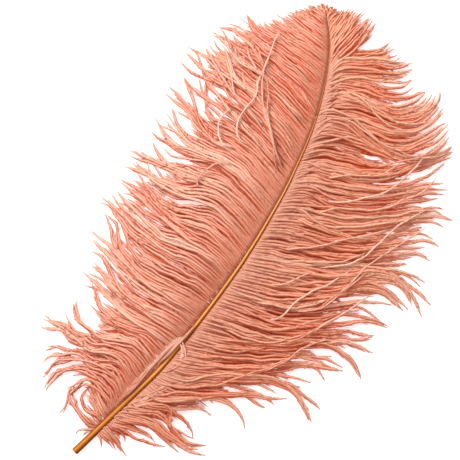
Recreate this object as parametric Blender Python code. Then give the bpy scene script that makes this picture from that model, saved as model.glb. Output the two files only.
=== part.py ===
"""Ostrich plume lying on a flat surface: one bowed shaft and the two rows of barbs it carries.

Metres, +Z up. Laid out with the cut end of the quill at (0, 0) and the tip of the shaft at
(0, SHAFT_CHORD); at the end everything is moved so the origin is the bottom centre of the whole.
"""
import bpy
import bmesh
import math
from mathutils import Vector

MM = 0.001

# ---------------------------------------------------------------- driving dimensions, millimetres
SHAFT_CHORD = 400.0        # cut end of the quill to the tip of the shaft, in a straight line
SHAFT_BOW = 44.5           # how far the shaft bows to the right of that line
QUILL_D = 5.8              # bare quill at the cut end
SHAFT_MID_D = 4.2          # shaft half way up
TIP_D = 0.9                # shaft at its tip
QUILL_BORE_D = 3.2         # hollow of the cut quill
QUILL_BORE_DEPTH = 9.0
GAP = 0.3                  # clearance between the shaft and each row of barbs
EDGE_Z = 0.8               # depth of the barbs at their tips
ROOT_DROP = 0.8            # barbs meet the shaft this far below its centre line, at the base
CROWN_Z = 10.0             # deepest part of a vane, a little way out from the shaft
NOTCH = 0.93               # reach of the gaps between neighbouring locks, share of the lock's reach
FLOOR_Z = 0.0

# Centre line of the shaft: (share of the chord, share of the bow, height of the centre in mm)
SHAFT_LINE = [
    (0.000, 0.000, 3.1),
    (0.070, 0.195, 3.3),
    (0.140, 0.385, 3.9),
    (0.220, 0.600, 4.8),
    (0.290, 0.720, 5.6),
    (0.350, 0.810, 6.4),
    (0.415, 0.890, 7.2),
    (0.470, 0.945, 7.8),
    (0.530, 0.983, 8.2),
    (0.585, 0.997, 8.4),
    (0.640, 1.000, 8.4),
    (0.690, 0.975, 8.2),
    (0.760, 0.915, 7.6),
    (0.810, 0.832, 6.9),
    (0.858, 0.717, 6.0),
    (0.902, 0.580, 5.0),
    (0.933, 0.450, 4.1),
    (0.958, 0.308, 3.3),
    (0.982, 0.140, 2.5),
    (1.000, 0.000, 1.8),
]

# Locks of barbs, base to tip: (height on the chord where the lock leaves the shaft, tip x, tip y)
LEFT_LOCKS = [
    (32, 0, 12), (37, -22, 17), (43, -42, 27), (51, -56, 38), (60, -66, 55), (72, -74, 73),
    (86, -71, 88), (100, -60, 97), (114, -58, 110), (128, -64, 127), (142, -68, 144),
    (156, -76, 160), (172, -81, 184), (188, -75, 205), (204, -79, 226), (220, -73, 246),
    (236, -74, 262), (252, -76, 280), (270, -79, 308), (288, -77, 322), (304, -66, 333),
    (320, -58, 350), (338, -48, 367), (354, -34, 374), (370, -18, 388), (384, -8, 396),
    (394, -3, 402),
]
RIGHT_LOCKS = [
    (32, 15, 13), (36, 38, 15), (41, 61, 34), (47, 80, 39), (55, 96, 50), (65, 107, 75),
    (77, 130, 90), (90, 150, 106), (106, 155, 124), (122, 165, 146), (138, 169, 164),
    (154, 167, 184), (170, 172, 207), (186, 186, 224), (200, 189, 238), (214, 176, 251),
    (228, 171, 266), (244, 173, 284), (262, 171, 302), (280, 158, 321), (296, 148, 343),
    (312, 141, 355), (326, 130, 368), (340, 113, 386), (354, 85, 392), (368, 62, 402),
    (382, 42, 408), (391, 20, 407), (397, 6, 404),
]

# Height of a vane from shaft to tip: (share of the reach, share of the way from edge to crown)
VANE_PROFILE = [(0.10, 0.90), (0.22, 1.00), (0.40, 0.70), (0.60, 0.40), (0.80, 0.16)]


# ---------------------------------------------------------------- start clean
for old in list(bpy.data.objects):
    bpy.data.objects.remove(old, do_unlink=True)

feather = bpy.data.collections.new("ostrich_feather")
bpy.context.scene.collection.children.link(feather)


def material(name, colour, roughness):
    mat = bpy.data.materials.new(name)
    mat.use_nodes = True
    bsdf = mat.node_tree.nodes["Principled BSDF"]
    bsdf.inputs["Base Color"].default_value = (*colour, 1.0)
    bsdf.inputs["Roughness"].default_value = roughness
    mat.diffuse_color = (*colour, 1.0)
    return mat


KERATIN = material("shaft_keratin", (0.62, 0.22, 0.035), 0.30)
BARBS = material("dyed_barbs", (0.74, 0.27, 0.18), 0.80)
BARBS_RIGHT = material("dyed_barbs_right", (0.74, 0.27, 0.18), 0.80)


def smooth(points, steps):
    """Catmull-Rom through the points, steps segments in each span."""
    out = []
    last = len(points) - 1
    for i in range(last):
        p0 = points[max(i - 1, 0)]
        p1, p2 = points[i], points[i + 1]
        p3 = points[min(i + 2, last)]
        for k in range(steps):
            t = k / steps
            out.append(0.5 * (2 * p1 + (p2 - p0) * t + (2 * p0 - 5 * p1 + 4 * p2 - p3) * t * t
                              + (3 * p1 - p0 - 3 * p2 + p3) * t * t * t))
    out.append(points[last].copy())
    return out


def shaft_radius(share):
    """Radius of the shaft, share of the chord from the quill (0) to the tip (1)."""
    if share < 0.5:
        u = share / 0.5
        return 0.5 * (QUILL_D + (SHAFT_MID_D - QUILL_D) * u)
    u = (share - 0.5) / 0.5
    return 0.5 * (SHAFT_MID_D + (TIP_D - SHAFT_MID_D) * u)


CENTRE = smooth([Vector((b * SHAFT_BOW, c * SHAFT_CHORD, z)) for c, b, z in SHAFT_LINE], 3)


def on_shaft(y):
    """Centre, direction and radius of the shaft at this height on the chord."""
    for a, b in zip(CENTRE, CENTRE[1:]):
        if a.y <= y <= b.y:
            t = (y - a.y) / (b.y - a.y)
            return a.lerp(b, t), (b - a).normalized(), shaft_radius(y / SHAFT_CHORD)
    return CENTRE[-1].copy(), (CENTRE[-1] - CENTRE[-2]).normalized(), shaft_radius(1.0)


def link(obj, mat):
    feather.objects.link(obj)
    obj.data.materials.clear()
    obj.data.materials.append(mat)
    return obj


# ---------------------------------------------------------------- shaft: one tapered bowed tube
curve = bpy.data.curves.new("shaft_line", "CURVE")
curve.dimensions = "3D"
curve.bevel_depth = 1.0 * MM
curve.bevel_resolution = 2
curve.use_fill_caps = True
spline = curve.splines.new("POLY")
spline.points.add(len(CENTRE) - 1)
for point, c in zip(spline.points, CENTRE):
    point.co = (c.x * MM, c.y * MM, c.z * MM, 1.0)
    point.radius = shaft_radius(c.y / SHAFT_CHORD)
tube = bpy.data.objects.new("shaft_tube", curve)
feather.objects.link(tube)
bpy.context.view_layer.update()
mesh = bpy.data.meshes.new_from_object(tube.evaluated_get(bpy.context.evaluated_depsgraph_get()))
bm = bmesh.new()
bm.from_mesh(mesh)
bmesh.ops.remove_doubles(bm, verts=bm.verts, dist=0.00002)
bmesh.ops.recalc_face_normals(bm, faces=bm.faces)
bm.to_mesh(mesh)
bm.free()
mesh.name = "shaft"
shaft = bpy.data.objects.new("shaft", mesh)
shaft.matrix_world = tube.matrix_world.copy()
bpy.data.objects.remove(tube, do_unlink=True)
link(shaft, KERATIN)

# The cut quill is hollow: a blunt bore along its own axis.
axis = (CENTRE[1] - CENTRE[0]).normalized()
bore_mesh = bpy.data.meshes.new("quill_bore")
bm = bmesh.new()
bmesh.ops.create_cone(bm, cap_ends=True, segments=12, radius1=0.5 * QUILL_BORE_D * MM,
                      radius2=0.35 * QUILL_BORE_D * MM, depth=2 * QUILL_BORE_DEPTH * MM)
bm.to_mesh(bore_mesh)
bm.free()
bore = bpy.data.objects.new("quill_bore", bore_mesh)
bore.rotation_mode = "QUATERNION"
bore.rotation_quaternion = axis.to_track_quat("Z", "Y")
bore.location = CENTRE[0] * MM
bore.hide_render = True
bore.display_type = "WIRE"
feather.objects.link(bore)
cut = shaft.modifiers.new("quill_bore", "BOOLEAN")
cut.operation = "DIFFERENCE"
cut.solver = "EXACT"
cut.object = bore


# ---------------------------------------------------------------- vanes: lofts through the locks
def vane(name, locks, side, mat):
    """One row of barbs as a solid. Each lock is one section, from the shaft to the lock's tip."""
    sections = []
    for i, (root_y, tx, ty) in enumerate(locks):
        sections.append((root_y, Vector((tx, ty, 0.0)), 1.0))
        if i + 1 < len(locks):
            ny, nx, nty = locks[i + 1]
            sections.append((0.5 * (root_y + ny), Vector((0.5 * (tx + nx), 0.5 * (ty + nty), 0.0)),
                             NOTCH))
    bm = bmesh.new()
    rings = []
    for root_y, tip, reach in sections:
        centre, along, radius = on_shaft(root_y)
        across = Vector((along.y, -along.x, 0.0)).normalized() * side
        root = centre + across * (radius + GAP)
        tip = root.lerp(Vector((tip.x, tip.y, root.z)), reach)
        share = root_y / SHAFT_CHORD
        root_z = max(centre.z - ROOT_DROP * (1.0 - share), EDGE_Z)
        swell = math.sin(math.pi * min(max(0.08 + 0.86 * share, 0.0), 1.0)) ** 0.6
        crown = EDGE_Z + (CROWN_Z - EDGE_Z) * swell * (1.0 if reach == 1.0 else 0.90)
        crown = max(crown, root_z)
        ring = [bm.verts.new((root.x * MM, root.y * MM, FLOOR_Z)),
                bm.verts.new((root.x * MM, root.y * MM, root_z * MM))]
        for t, height in VANE_PROFILE:
            p = root.lerp(tip, t)
            z = EDGE_Z + (crown - EDGE_Z) * height
            if t < 0.2:
                z = max(z, root_z)
            ring.append(bm.verts.new((p.x * MM, p.y * MM, z * MM)))
        ring.append(bm.verts.new((tip.x * MM, tip.y * MM, EDGE_Z * MM)))
        ring.append(bm.verts.new((tip.x * MM, tip.y * MM, FLOOR_Z)))
        rings.append(ring)
    count = len(rings[0])
    for a, b in zip(rings, rings[1:]):
        for k in range(count):
            n = (k + 1) % count
            bm.faces.new((a[k], a[n], b[n], b[k]))
    bm.faces.new(rings[0])
    bm.faces.new(list(reversed(rings[-1])))
    bmesh.ops.recalc_face_normals(bm, faces=bm.faces)
    mesh = bpy.data.meshes.new(name)
    bm.to_mesh(mesh)
    bm.free()
    return link(bpy.data.objects.new(name, mesh), mat)


left = vane("vane_left", LEFT_LOCKS, -1.0, BARBS)
right = vane("vane_right", RIGHT_LOCKS, 1.0, BARBS_RIGHT)

# ---------------------------------------------------------------- origin: bottom centre of the whole
bpy.context.view_layer.update()
low = Vector((1e9, 1e9, 1e9))
high = -low
for obj in (shaft, left, right):
    for v in obj.data.vertices:
        p = obj.matrix_world @ v.co
        low = Vector(map(min, low, p))
        high = Vector(map(max, high, p))
shift = Vector((-(low.x + high.x) / 2, -(low.y + high.y) / 2, -low.z))
for obj in (shaft, left, right, bore):
    obj.location = obj.location + shift
bpy.context.view_layer.update()
print("size mm", [round(1000 * v, 2) for v in (high - low)], "shift mm",
      [round(1000 * v, 3) for v in shift])
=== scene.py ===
# Ostrich plume, dyed salmon, lying on a pale table with its golden shaft bowed to one side.
#
# Every barb is real geometry: a thin tapered rib with hundreds of fine barbules laid round it,
# so that each one reads as a soft, finely striped rope. The barbs grow from both sides of the
# shaft, run side by side at first, then gather into locks whose tips make the ragged outline.
# Lengths are millimetres, measured from the cut end of the quill, +Y along the feather.
import bpy
import math
import numpy as np
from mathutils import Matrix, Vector


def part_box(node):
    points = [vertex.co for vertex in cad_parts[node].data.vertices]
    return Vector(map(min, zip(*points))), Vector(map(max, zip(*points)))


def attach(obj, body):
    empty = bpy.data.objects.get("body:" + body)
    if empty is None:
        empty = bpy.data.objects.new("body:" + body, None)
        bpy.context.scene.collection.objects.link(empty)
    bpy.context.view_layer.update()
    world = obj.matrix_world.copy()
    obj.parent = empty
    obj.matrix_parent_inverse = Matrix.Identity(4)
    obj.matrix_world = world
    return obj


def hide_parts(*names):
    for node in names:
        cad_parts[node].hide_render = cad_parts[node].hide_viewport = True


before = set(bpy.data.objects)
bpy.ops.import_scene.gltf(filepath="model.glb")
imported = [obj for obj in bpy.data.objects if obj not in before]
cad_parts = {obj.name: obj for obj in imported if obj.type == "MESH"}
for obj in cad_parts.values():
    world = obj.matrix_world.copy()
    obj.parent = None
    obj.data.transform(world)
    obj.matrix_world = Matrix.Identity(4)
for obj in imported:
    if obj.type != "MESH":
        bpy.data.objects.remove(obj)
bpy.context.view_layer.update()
MM = 0.001
SEED = 20260


# ------------------------------------------------------------------ where the CAD puts things
shaft_lo, shaft_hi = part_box("shaft")
# the quill's cut end stands 2.77 mm in from the shaft's left side and 0.86 mm up from its low end
ORIGIN = np.array([shaft_lo[0] / MM + 2.77, shaft_lo[1] / MM + 0.86, shaft_lo[2] / MM - 0.2])

# ------------------------------------------------------------------ the shaft's line
# share of the chord, share of the bow, height of the centre (the same line as the CAD shaft)
SHAFT_CHORD = 400.0
SHAFT_BOW = 44.5
SHAFT_LINE = [
    (0.0, 0.0, 3.1), (0.07, 0.195, 3.3), (0.14, 0.385, 3.9), (0.22, 0.6, 4.8), (0.29, 0.72, 5.6),
    (0.35, 0.81, 6.4), (0.415, 0.89, 7.2), (0.47, 0.945, 7.8), (0.53, 0.983, 8.2),
    (0.585, 0.997, 8.4), (0.64, 1.0, 8.4), (0.69, 0.975, 8.2), (0.76, 0.915, 7.6),
    (0.81, 0.832, 6.9), (0.858, 0.717, 6.0), (0.902, 0.58, 5.0), (0.933, 0.45, 4.1),
    (0.958, 0.308, 3.3), (0.982, 0.14, 2.5), (1.0, 0.0, 1.8),
]
QUILL_D = 5.8
SHAFT_MID_D = 4.2
TIP_D = 0.9


def through(points, steps):
    """A Catmull-Rom line through the points, steps pieces in each span."""
    p = np.asarray(points, float)
    out = []
    for i in range(len(p) - 1):
        a = p[max(i - 1, 0)]
        b, c = p[i], p[i + 1]
        d = p[min(i + 2, len(p) - 1)]
        for k in range(steps):
            t = k / steps
            out.append(0.5 * (2 * b + (c - a) * t + (2 * a - 5 * b + 4 * c - d) * t * t
                              + (3 * b - a - 3 * c + d) * t ** 3))
    out.append(p[-1])
    return np.array(out)


def arc(points):
    """Length along the line at each of its points."""
    step = np.linalg.norm(np.diff(points, axis=0), axis=1)
    return np.concatenate([[0.0], np.cumsum(step)])


def at(points, where, lengths=None):
    """The line's points at these lengths."""
    a = arc(points) if lengths is None else lengths
    return np.stack([np.interp(where, a, points[:, k]) for k in range(points.shape[1])], 1)


def even(points, n):
    """The line in n evenly spaced points."""
    fine = through(points, 12)
    a = arc(fine)
    return at(fine, np.linspace(0.0, a[-1], n), a)


def smoothstep(x, lo=0.0, hi=1.0):
    t = np.clip((np.asarray(x, float) - lo) / (hi - lo), 0.0, 1.0)
    return t * t * (3.0 - 2.0 * t)


CENTRE = through([(b * SHAFT_BOW, c * SHAFT_CHORD, z) for c, b, z in SHAFT_LINE], 16)
CENTRE_ARC = arc(CENTRE)
SHAFT_LENGTH = CENTRE_ARC[-1]


def shaft_radius(y):
    share = np.clip(np.asarray(y, float) / SHAFT_CHORD, 0.0, 1.0)
    low = 0.5 * (QUILL_D + (SHAFT_MID_D - QUILL_D) * share / 0.5)
    high = 0.5 * (SHAFT_MID_D + (TIP_D - SHAFT_MID_D) * (share - 0.5) / 0.5)
    return np.where(share < 0.5, low, high)


def shaft_at(s):
    """Centre, direction and right-hand side of the shaft at these lengths along it."""
    s = np.atleast_1d(s)
    c = at(CENTRE, s, CENTRE_ARC)
    d = at(CENTRE, s + 1.0, CENTRE_ARC) - at(CENTRE, s - 1.0, CENTRE_ARC)
    d /= np.linalg.norm(d, axis=1)[:, None]
    right = np.stack([d[:, 1], -d[:, 0], np.zeros(len(d))], 1)
    right /= np.linalg.norm(right, axis=1)[:, None]
    return c, d, right


# ------------------------------------------------------------------ how the barbs flow
# Each line is one barb of the vane from its root to its tip, from the quill to the feather's tip.
FLOW = {
    "left": [
        [(4.8, 19.5), (-0.4, 19.2), (-5.4, 16.9), (-6.4, 12.3)],
        [(5.4, 21.6), (-1.3, 22.3), (-6.2, 23.2)],
        [(6.6, 25.8), (-2.6, 29.6), (-10.4, 30.7), (-18.2, 33.4), (-24.2, 36.3)],
        [(8.1, 31.1), (-2.3, 36.9), (-10.8, 41.1), (-16.5, 43.3), (-18.5, 48.4)],
        [(9.6, 36.4), (-0.8, 44), (-11.6, 50.5), (-20.8, 52.5), (-24.5, 43.3), (-24.8, 32.5), (-23.8,
         19.6)],
        [(11.1, 41.7), (0.6, 51), (-11.2, 57.8), (-22.5, 60.5), (-33.1, 55.5), (-41.4, 44.6), (-42.1,
         29.9)],
        [(13, 48.1), (2, 58.1), (-10.5, 64.5), (-22.7, 65.7), (-35.2, 62.4), (-45.9, 52.8), (-51.5, 37.2)],
        [(15.4, 54.8), (3.9, 64.5), (-9.3, 70.5), (-21.9, 70.6), (-34, 66.6), (-47, 61.2), (-55.2, 48.6)],
        [(17.6, 62.3), (5.3, 71.5), (-7.5, 76.9), (-21.5, 76.3), (-33.1, 71.5), (-46.2, 66.1), (-58.7,
         58.2)],
        [(19.7, 69.7), (6.7, 78.5), (-6.8, 83.5), (-21, 81.9), (-35.2, 78.4), (-50.9, 77.7), (-72.9, 78.9)],
        [(22.5, 77.5), (9.9, 85.7), (-2.8, 89.3), (-17.1, 87.6), (-30.9, 83.5), (-44.8, 82.9), (-55.8,
         86.6), (-58.8, 92.1)],
        [(25.6, 86.4), (13.4, 93.9), (0.6, 97.5), (-12.9, 96.2), (-24.6, 91.5), (-33.9, 89), (-45.9, 91.2),
         (-53.8, 97.5), (-56.3, 105.1)],
        [(27.3, 94.5), (15.6, 99.5), (2.8, 103.2), (-10.7, 101.9), (-24.1, 97.1), (-34, 98.7), (-40.7,
         107.5)],
        [(29.7, 104.7), (13.7, 109.2), (-3, 108.8), (-18.6, 106.4), (-32.6, 107.5), (-42.9, 111.6), (-50.8,
         116.2)],
        [(31.6, 115.6), (15.1, 118), (-2.7, 117.9), (-19.5, 117.5), (-33.2, 119.7), (-43.7, 121), (-50.6,
         119), (-57.5, 116.9)],
        [(34, 125.8), (16.8, 127.9), (-1, 127.8), (-18.9, 127.7), (-33.3, 131.2), (-45.7, 134.2), (-53.6,
         132.4), (-60.1, 128)],
        [(35.6, 135.7), (17.4, 138), (-0.1, 137.3), (-17.2, 137.5), (-33.1, 142.1), (-46.9, 146), (-57.7,
         146.2), (-66, 143.4)],
        [(37.2, 147.3), (19.6, 150), (0.4, 149.1), (-17.4, 149.1), (-32.8, 151.2), (-46.9, 154), (-60.2,
         155.5), (-72.8, 155.7)],
        [(38.8, 158.9), (20.8, 162.3), (2.3, 161.8), (-15.1, 161), (-31.2, 162.8), (-44.6, 166), (-58.8,
         170.6), (-70.5, 173.9)],
        [(40.4, 170.5), (21.6, 175.2), (3.1, 176.5), (-13.2, 173.7), (-29.6, 174.4), (-43.8, 179), (-57.2,
         182.2), (-73.8, 178.3)],
        [(41.6, 181), (23.2, 186.8), (4.3, 188.8), (-12.1, 187.7), (-27, 185.6), (-43.5, 188.1), (-57.9,
         189.9), (-77.9, 184.1)],
        [(42.5, 192.2), (24.4, 199.1), (5.8, 202.1), (-9.8, 199.7), (-24, 196.3), (-40.4, 196.9), (-54.4,
         198), (-70, 195.6)],
        [(42.7, 204.8), (24.6, 211.7), (6.2, 215.7), (-8.3, 213), (-21, 206.9), (-35.6, 205.9), (-52.8,
         207.9), (-68.7, 204.4)],
        [(43.2, 216.7), (26.1, 223.3), (7.1, 228.7), (-9, 228.7), (-22.3, 222.2), (-37.1, 216.6), (-53.2,
         216.6), (-67.2, 217.7)],
        [(43.7, 228.6), (27.7, 234.9), (8.6, 240.3), (-8.2, 241.6), (-23.3, 236.8), (-39.2, 231.5), (-57.9,
         228.3), (-76.3, 226.1)],
        [(43.9, 239.4), (28.3, 245), (9.5, 251.5), (-8, 254.2), (-24.7, 252.1), (-42.4, 248.5), (-57.7,
         248.9), (-69.8, 252.9)],
        [(44.2, 250.2), (28.2, 256.5), (8.3, 263.3), (-10.3, 266.3), (-28.1, 264.5), (-47.6, 264.3), (-63.3,
         271.7)],
        [(44, 261.8), (28, 268), (7.8, 275.5), (-12, 280.6), (-32.3, 281.8), (-51.9, 281.6), (-74.7,
         284.1)],
        [(43.2, 272.9), (26.8, 279.9), (6.6, 287.3), (-15.7, 293.7), (-36.4, 295.6), (-55, 296.8), (-67.9,
         297.7)],
        [(42.6, 285.1), (25.2, 292.4), (3.9, 300.1), (-18, 305.8), (-39.8, 308), (-58.5, 306.5), (-74.2,
         305.8)],
        [(41.4, 296.9), (22.5, 305.2), (0.5, 312.6), (-22, 317.9), (-44.2, 320.7), (-62, 320.6), (-76.6,
         319.6)],
        [(39.3, 311.8), (20.2, 319), (-1.4, 325.7), (-23.3, 329.7), (-43.9, 331.5), (-63, 327.2)],
        [(36.7, 324.6), (15.8, 331.7), (-6.8, 337), (-27.2, 340), (-45.4, 340.6), (-61.4, 338.8)],
        [(34.1, 335.7), (11.8, 342), (-11.5, 347), (-30.4, 348.9), (-46.1, 348.2), (-59.3, 346.2)],
        [(31.1, 347.4), (7.9, 352.3), (-13.9, 354.5), (-31.1, 356.6), (-46.7, 362.2)],
        [(27.9, 356.4), (6.5, 359.6), (-14.2, 361.5), (-34.5, 362.7)],
        [(24.1, 364.9), (4.7, 367.6), (-12.8, 370.3), (-29.6, 369.9)],
        [(19.8, 374.2), (2.6, 376.2), (-12.8, 378.3), (-23.3, 377.9)],
        [(13.8, 383.3), (0.1, 385.5), (-13.9, 386.6)],
        [(6.1, 392.4), (-2, 394.2), (-9, 393.8)],
    ],
    "right": [
        [(9, 20), (13.6, 18.1), (17.6, 13.2)],
        [(9.6, 22.1), (14.9, 20.6), (20.9, 19.5), (27.3, 15.9)],
        [(9.8, 24.9), (15.8, 23.8), (23.5, 22.7), (36.4, 15.6)],
        [(10.3, 28.8), (16.7, 27), (22.9, 28.6), (29.7, 24.4)],
        [(10.8, 32.6), (18.6, 31.6), (28.6, 32.7), (41.5, 33.6), (60.2, 36.9)],
        [(11.4, 36.5), (20.2, 35.1), (30.5, 39.1), (45.5, 39.4), (58.3, 40.3), (71.3, 39.5)],
        [(12.2, 41.4), (22.7, 40.1), (33.3, 45.2), (47.7, 45.1), (68.7, 42.5), (90.5, 48.4)],
        [(13.7, 46.7), (25.3, 45.2), (36.6, 50.5), (50.5, 51.2), (67.8, 47.4), (88.1, 54.2)],
        [(15.5, 53.1), (27.5, 50.8), (39.1, 57.3), (51.4, 64.1), (65.1, 61.9), (74.8, 54)],
        [(17.3, 59.5), (30, 57.6), (43.3, 64.1), (58, 71.4), (71, 76.9), (80.1, 76.6)],
        [(19.5, 66.9), (33.5, 65.8), (48.2, 73), (62.7, 83.8), (79.5, 90.5), (93.8, 90.4), (106.5, 80.5)],
        [(21.9, 73.6), (38, 73.6), (53.7, 82.4), (70.3, 92.5), (87.8, 101.3), (105.2, 102.1), (115, 102.2)],
        [(24.1, 81.1), (41.5, 81.8), (57.8, 90.9), (75.2, 101.5), (93.7, 110), (113.2, 110.1), (125.5,
         117)],
        [(26.5, 89.5), (44.2, 91.4), (61.6, 100.2), (80, 110.4), (98.1, 121.3), (116.4, 125.3), (134,
         120.8), (149.9, 110)],
        [(28.5, 98.7), (46.2, 102.3), (64.6, 110.8), (84.1, 120.7), (102.6, 129.2), (120.9, 133.2), (135.5,
         135.9)],
        [(30.6, 107.9), (48.5, 112.5), (68.1, 120.7), (87.9, 130), (107.1, 138.9), (124.2, 146.6), (137,
         147.5), (143.9, 143.3)],
        [(32.2, 117.7), (51.2, 122.1), (72.2, 129.3), (92.4, 137.9), (111.1, 149.2), (129.7, 155.9), (152.3,
         156.9)],
        [(33.6, 126.5), (53.3, 131.2), (75, 137.1), (95.6, 145), (113.9, 157), (132.3, 169), (150.1, 169),
         (167.6, 158.3)],
        [(34.9, 137.1), (54.9, 141.1), (77.4, 145.6), (99.5, 152.5), (118.9, 164.2), (137.6, 175.5), (152.7,
         180.3), (166.6, 180.9)],
        [(36.1, 147.6), (56.2, 151.6), (79.1, 155.4), (101.1, 162.3), (120.8, 175.1), (139.2, 185.3),
         (158.8, 191.8)],
        [(37.4, 158.1), (57.9, 161.5), (80.7, 165.3), (102, 173.5), (121.7, 186.3), (140.5, 195.9), (160.6,
         198.1)],
        [(38.7, 168.7), (58.8, 172.7), (80.9, 177.9), (101.8, 186.8), (121.9, 198.9), (142.2, 205.7),
         (162.8, 203.8)],
        [(40, 179.2), (59.7, 183.9), (81, 190.4), (101.9, 199.4), (122.4, 210.8), (142.9, 220.4), (163.5,
         220.3)],
        [(41.3, 189.7), (60.6, 195.1), (81.9, 201.6), (102.8, 210.6), (123.3, 222), (145.2, 230.6), (166.9,
         230.2), (179, 224.4)],
        [(41.9, 199.9), (60.8, 205.9), (81.8, 213.2), (102.7, 222.1), (123.9, 232.1), (145.8, 240.8),
         (164.8, 245.1), (183.3, 237.6)],
        [(42.1, 210.7), (60.6, 217.5), (81.3, 223.6), (103, 231.2), (124.5, 240.5), (146.4, 250.9), (165.7,
         256.3)],
        [(42.7, 220.9), (59.8, 228.6), (80.8, 234.1), (103.3, 240.3), (124.8, 249.6), (146, 261.4), (168.8,
         266.9)],
        [(43.3, 231), (60, 239.4), (81.1, 244.9), (102.8, 250.7), (124, 260.8), (144.4, 273.9), (167.8,
         281.6)],
        [(43.2, 240.8), (59.5, 249.9), (79.9, 255), (101.3, 261.5), (122.5, 271.5), (142.5, 285.3), (168,
         300.4)],
        [(43.1, 250.6), (58.8, 259.3), (79.1, 264.4), (99.8, 270.5), (120.4, 280.2), (139.7, 293.6), (160.5,
         304.3)],
        [(43, 260.3), (58.3, 269.7), (78, 274.4), (97.6, 280.9), (116.7, 291.5), (135, 305.2), (155.4,
         316.6)],
        [(42.6, 269), (57.5, 279.1), (76.9, 284.5), (96.2, 289.9), (115, 299.5), (132.9, 312.1), (150.2,
         322.7)],
        [(42.2, 277.7), (56.8, 288.5), (75, 294.2), (93.7, 299.2), (111.8, 308.4), (127.2, 322.4), (139.5,
         335.5)],
        [(41.9, 286.5), (55.3, 297.5), (73.6, 303.2), (92.6, 307.6), (111.5, 315.4), (128.3, 330.1), (145.1,
         344.8)],
        [(40.8, 294.8), (53.9, 306.5), (71.5, 311.9), (90.9, 315.5), (109, 323), (125.6, 334.9), (139.1,
         354)],
        [(39.7, 303.1), (52.4, 315.6), (70, 320.9), (90.5, 322.5), (108.7, 329.9), (122.8, 343.1), (133.2,
         361.4)],
        [(38.7, 311.5), (51, 324.6), (67.8, 331.3), (89.1, 331.5), (106.7, 336.8), (119, 349.9), (126.6,
         368.4)],
        [(37.6, 319.8), (49.9, 332.9), (67, 340.6), (87.2, 342.9), (102.9, 349.9), (112.9, 362.6), (118.2,
         377.1)],
        [(35.8, 327.7), (48.2, 340.9), (63.9, 349.6), (82.6, 352.9), (98, 358.8), (106.9, 370), (108.9,
         380.9)],
        [(34.1, 334.8), (46.1, 347.8), (61, 357.8), (77.6, 363.5), (90.8, 371.7), (101.6, 379.5)],
        [(32.4, 341.9), (43, 354.9), (56.5, 366), (72.2, 373), (86.5, 382.7)],
        [(30.7, 348.1), (40.7, 360.8), (53.8, 372.5), (69.4, 381.3), (81.9, 390.9)],
        [(29.1, 353.5), (38, 365.6), (50.1, 375.9), (63, 384.8), (69.6, 393.8)],
        [(27.5, 357.9), (35, 371), (44.7, 380.9), (54.4, 389), (60.3, 399.4)],
        [(25.6, 362.2), (31, 375), (35.6, 389.2), (39.5, 403), (42.7, 408.4)],
        [(22.9, 367.8), (27.5, 381.1), (30.8, 394.6), (33.4, 407.6)],
        [(19.4, 374.9), (22.8, 386.5), (24.6, 399.2), (26.7, 408.3)],
        [(15.3, 381.5), (17.7, 390.8), (19, 401.4), (19.4, 407)],
        [(10.5, 387.7), (11.9, 394.8), (14.4, 401.5)],
        [(5.3, 393.8), (6.2, 398.7), (9.2, 401.3)],
    ],
}

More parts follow.
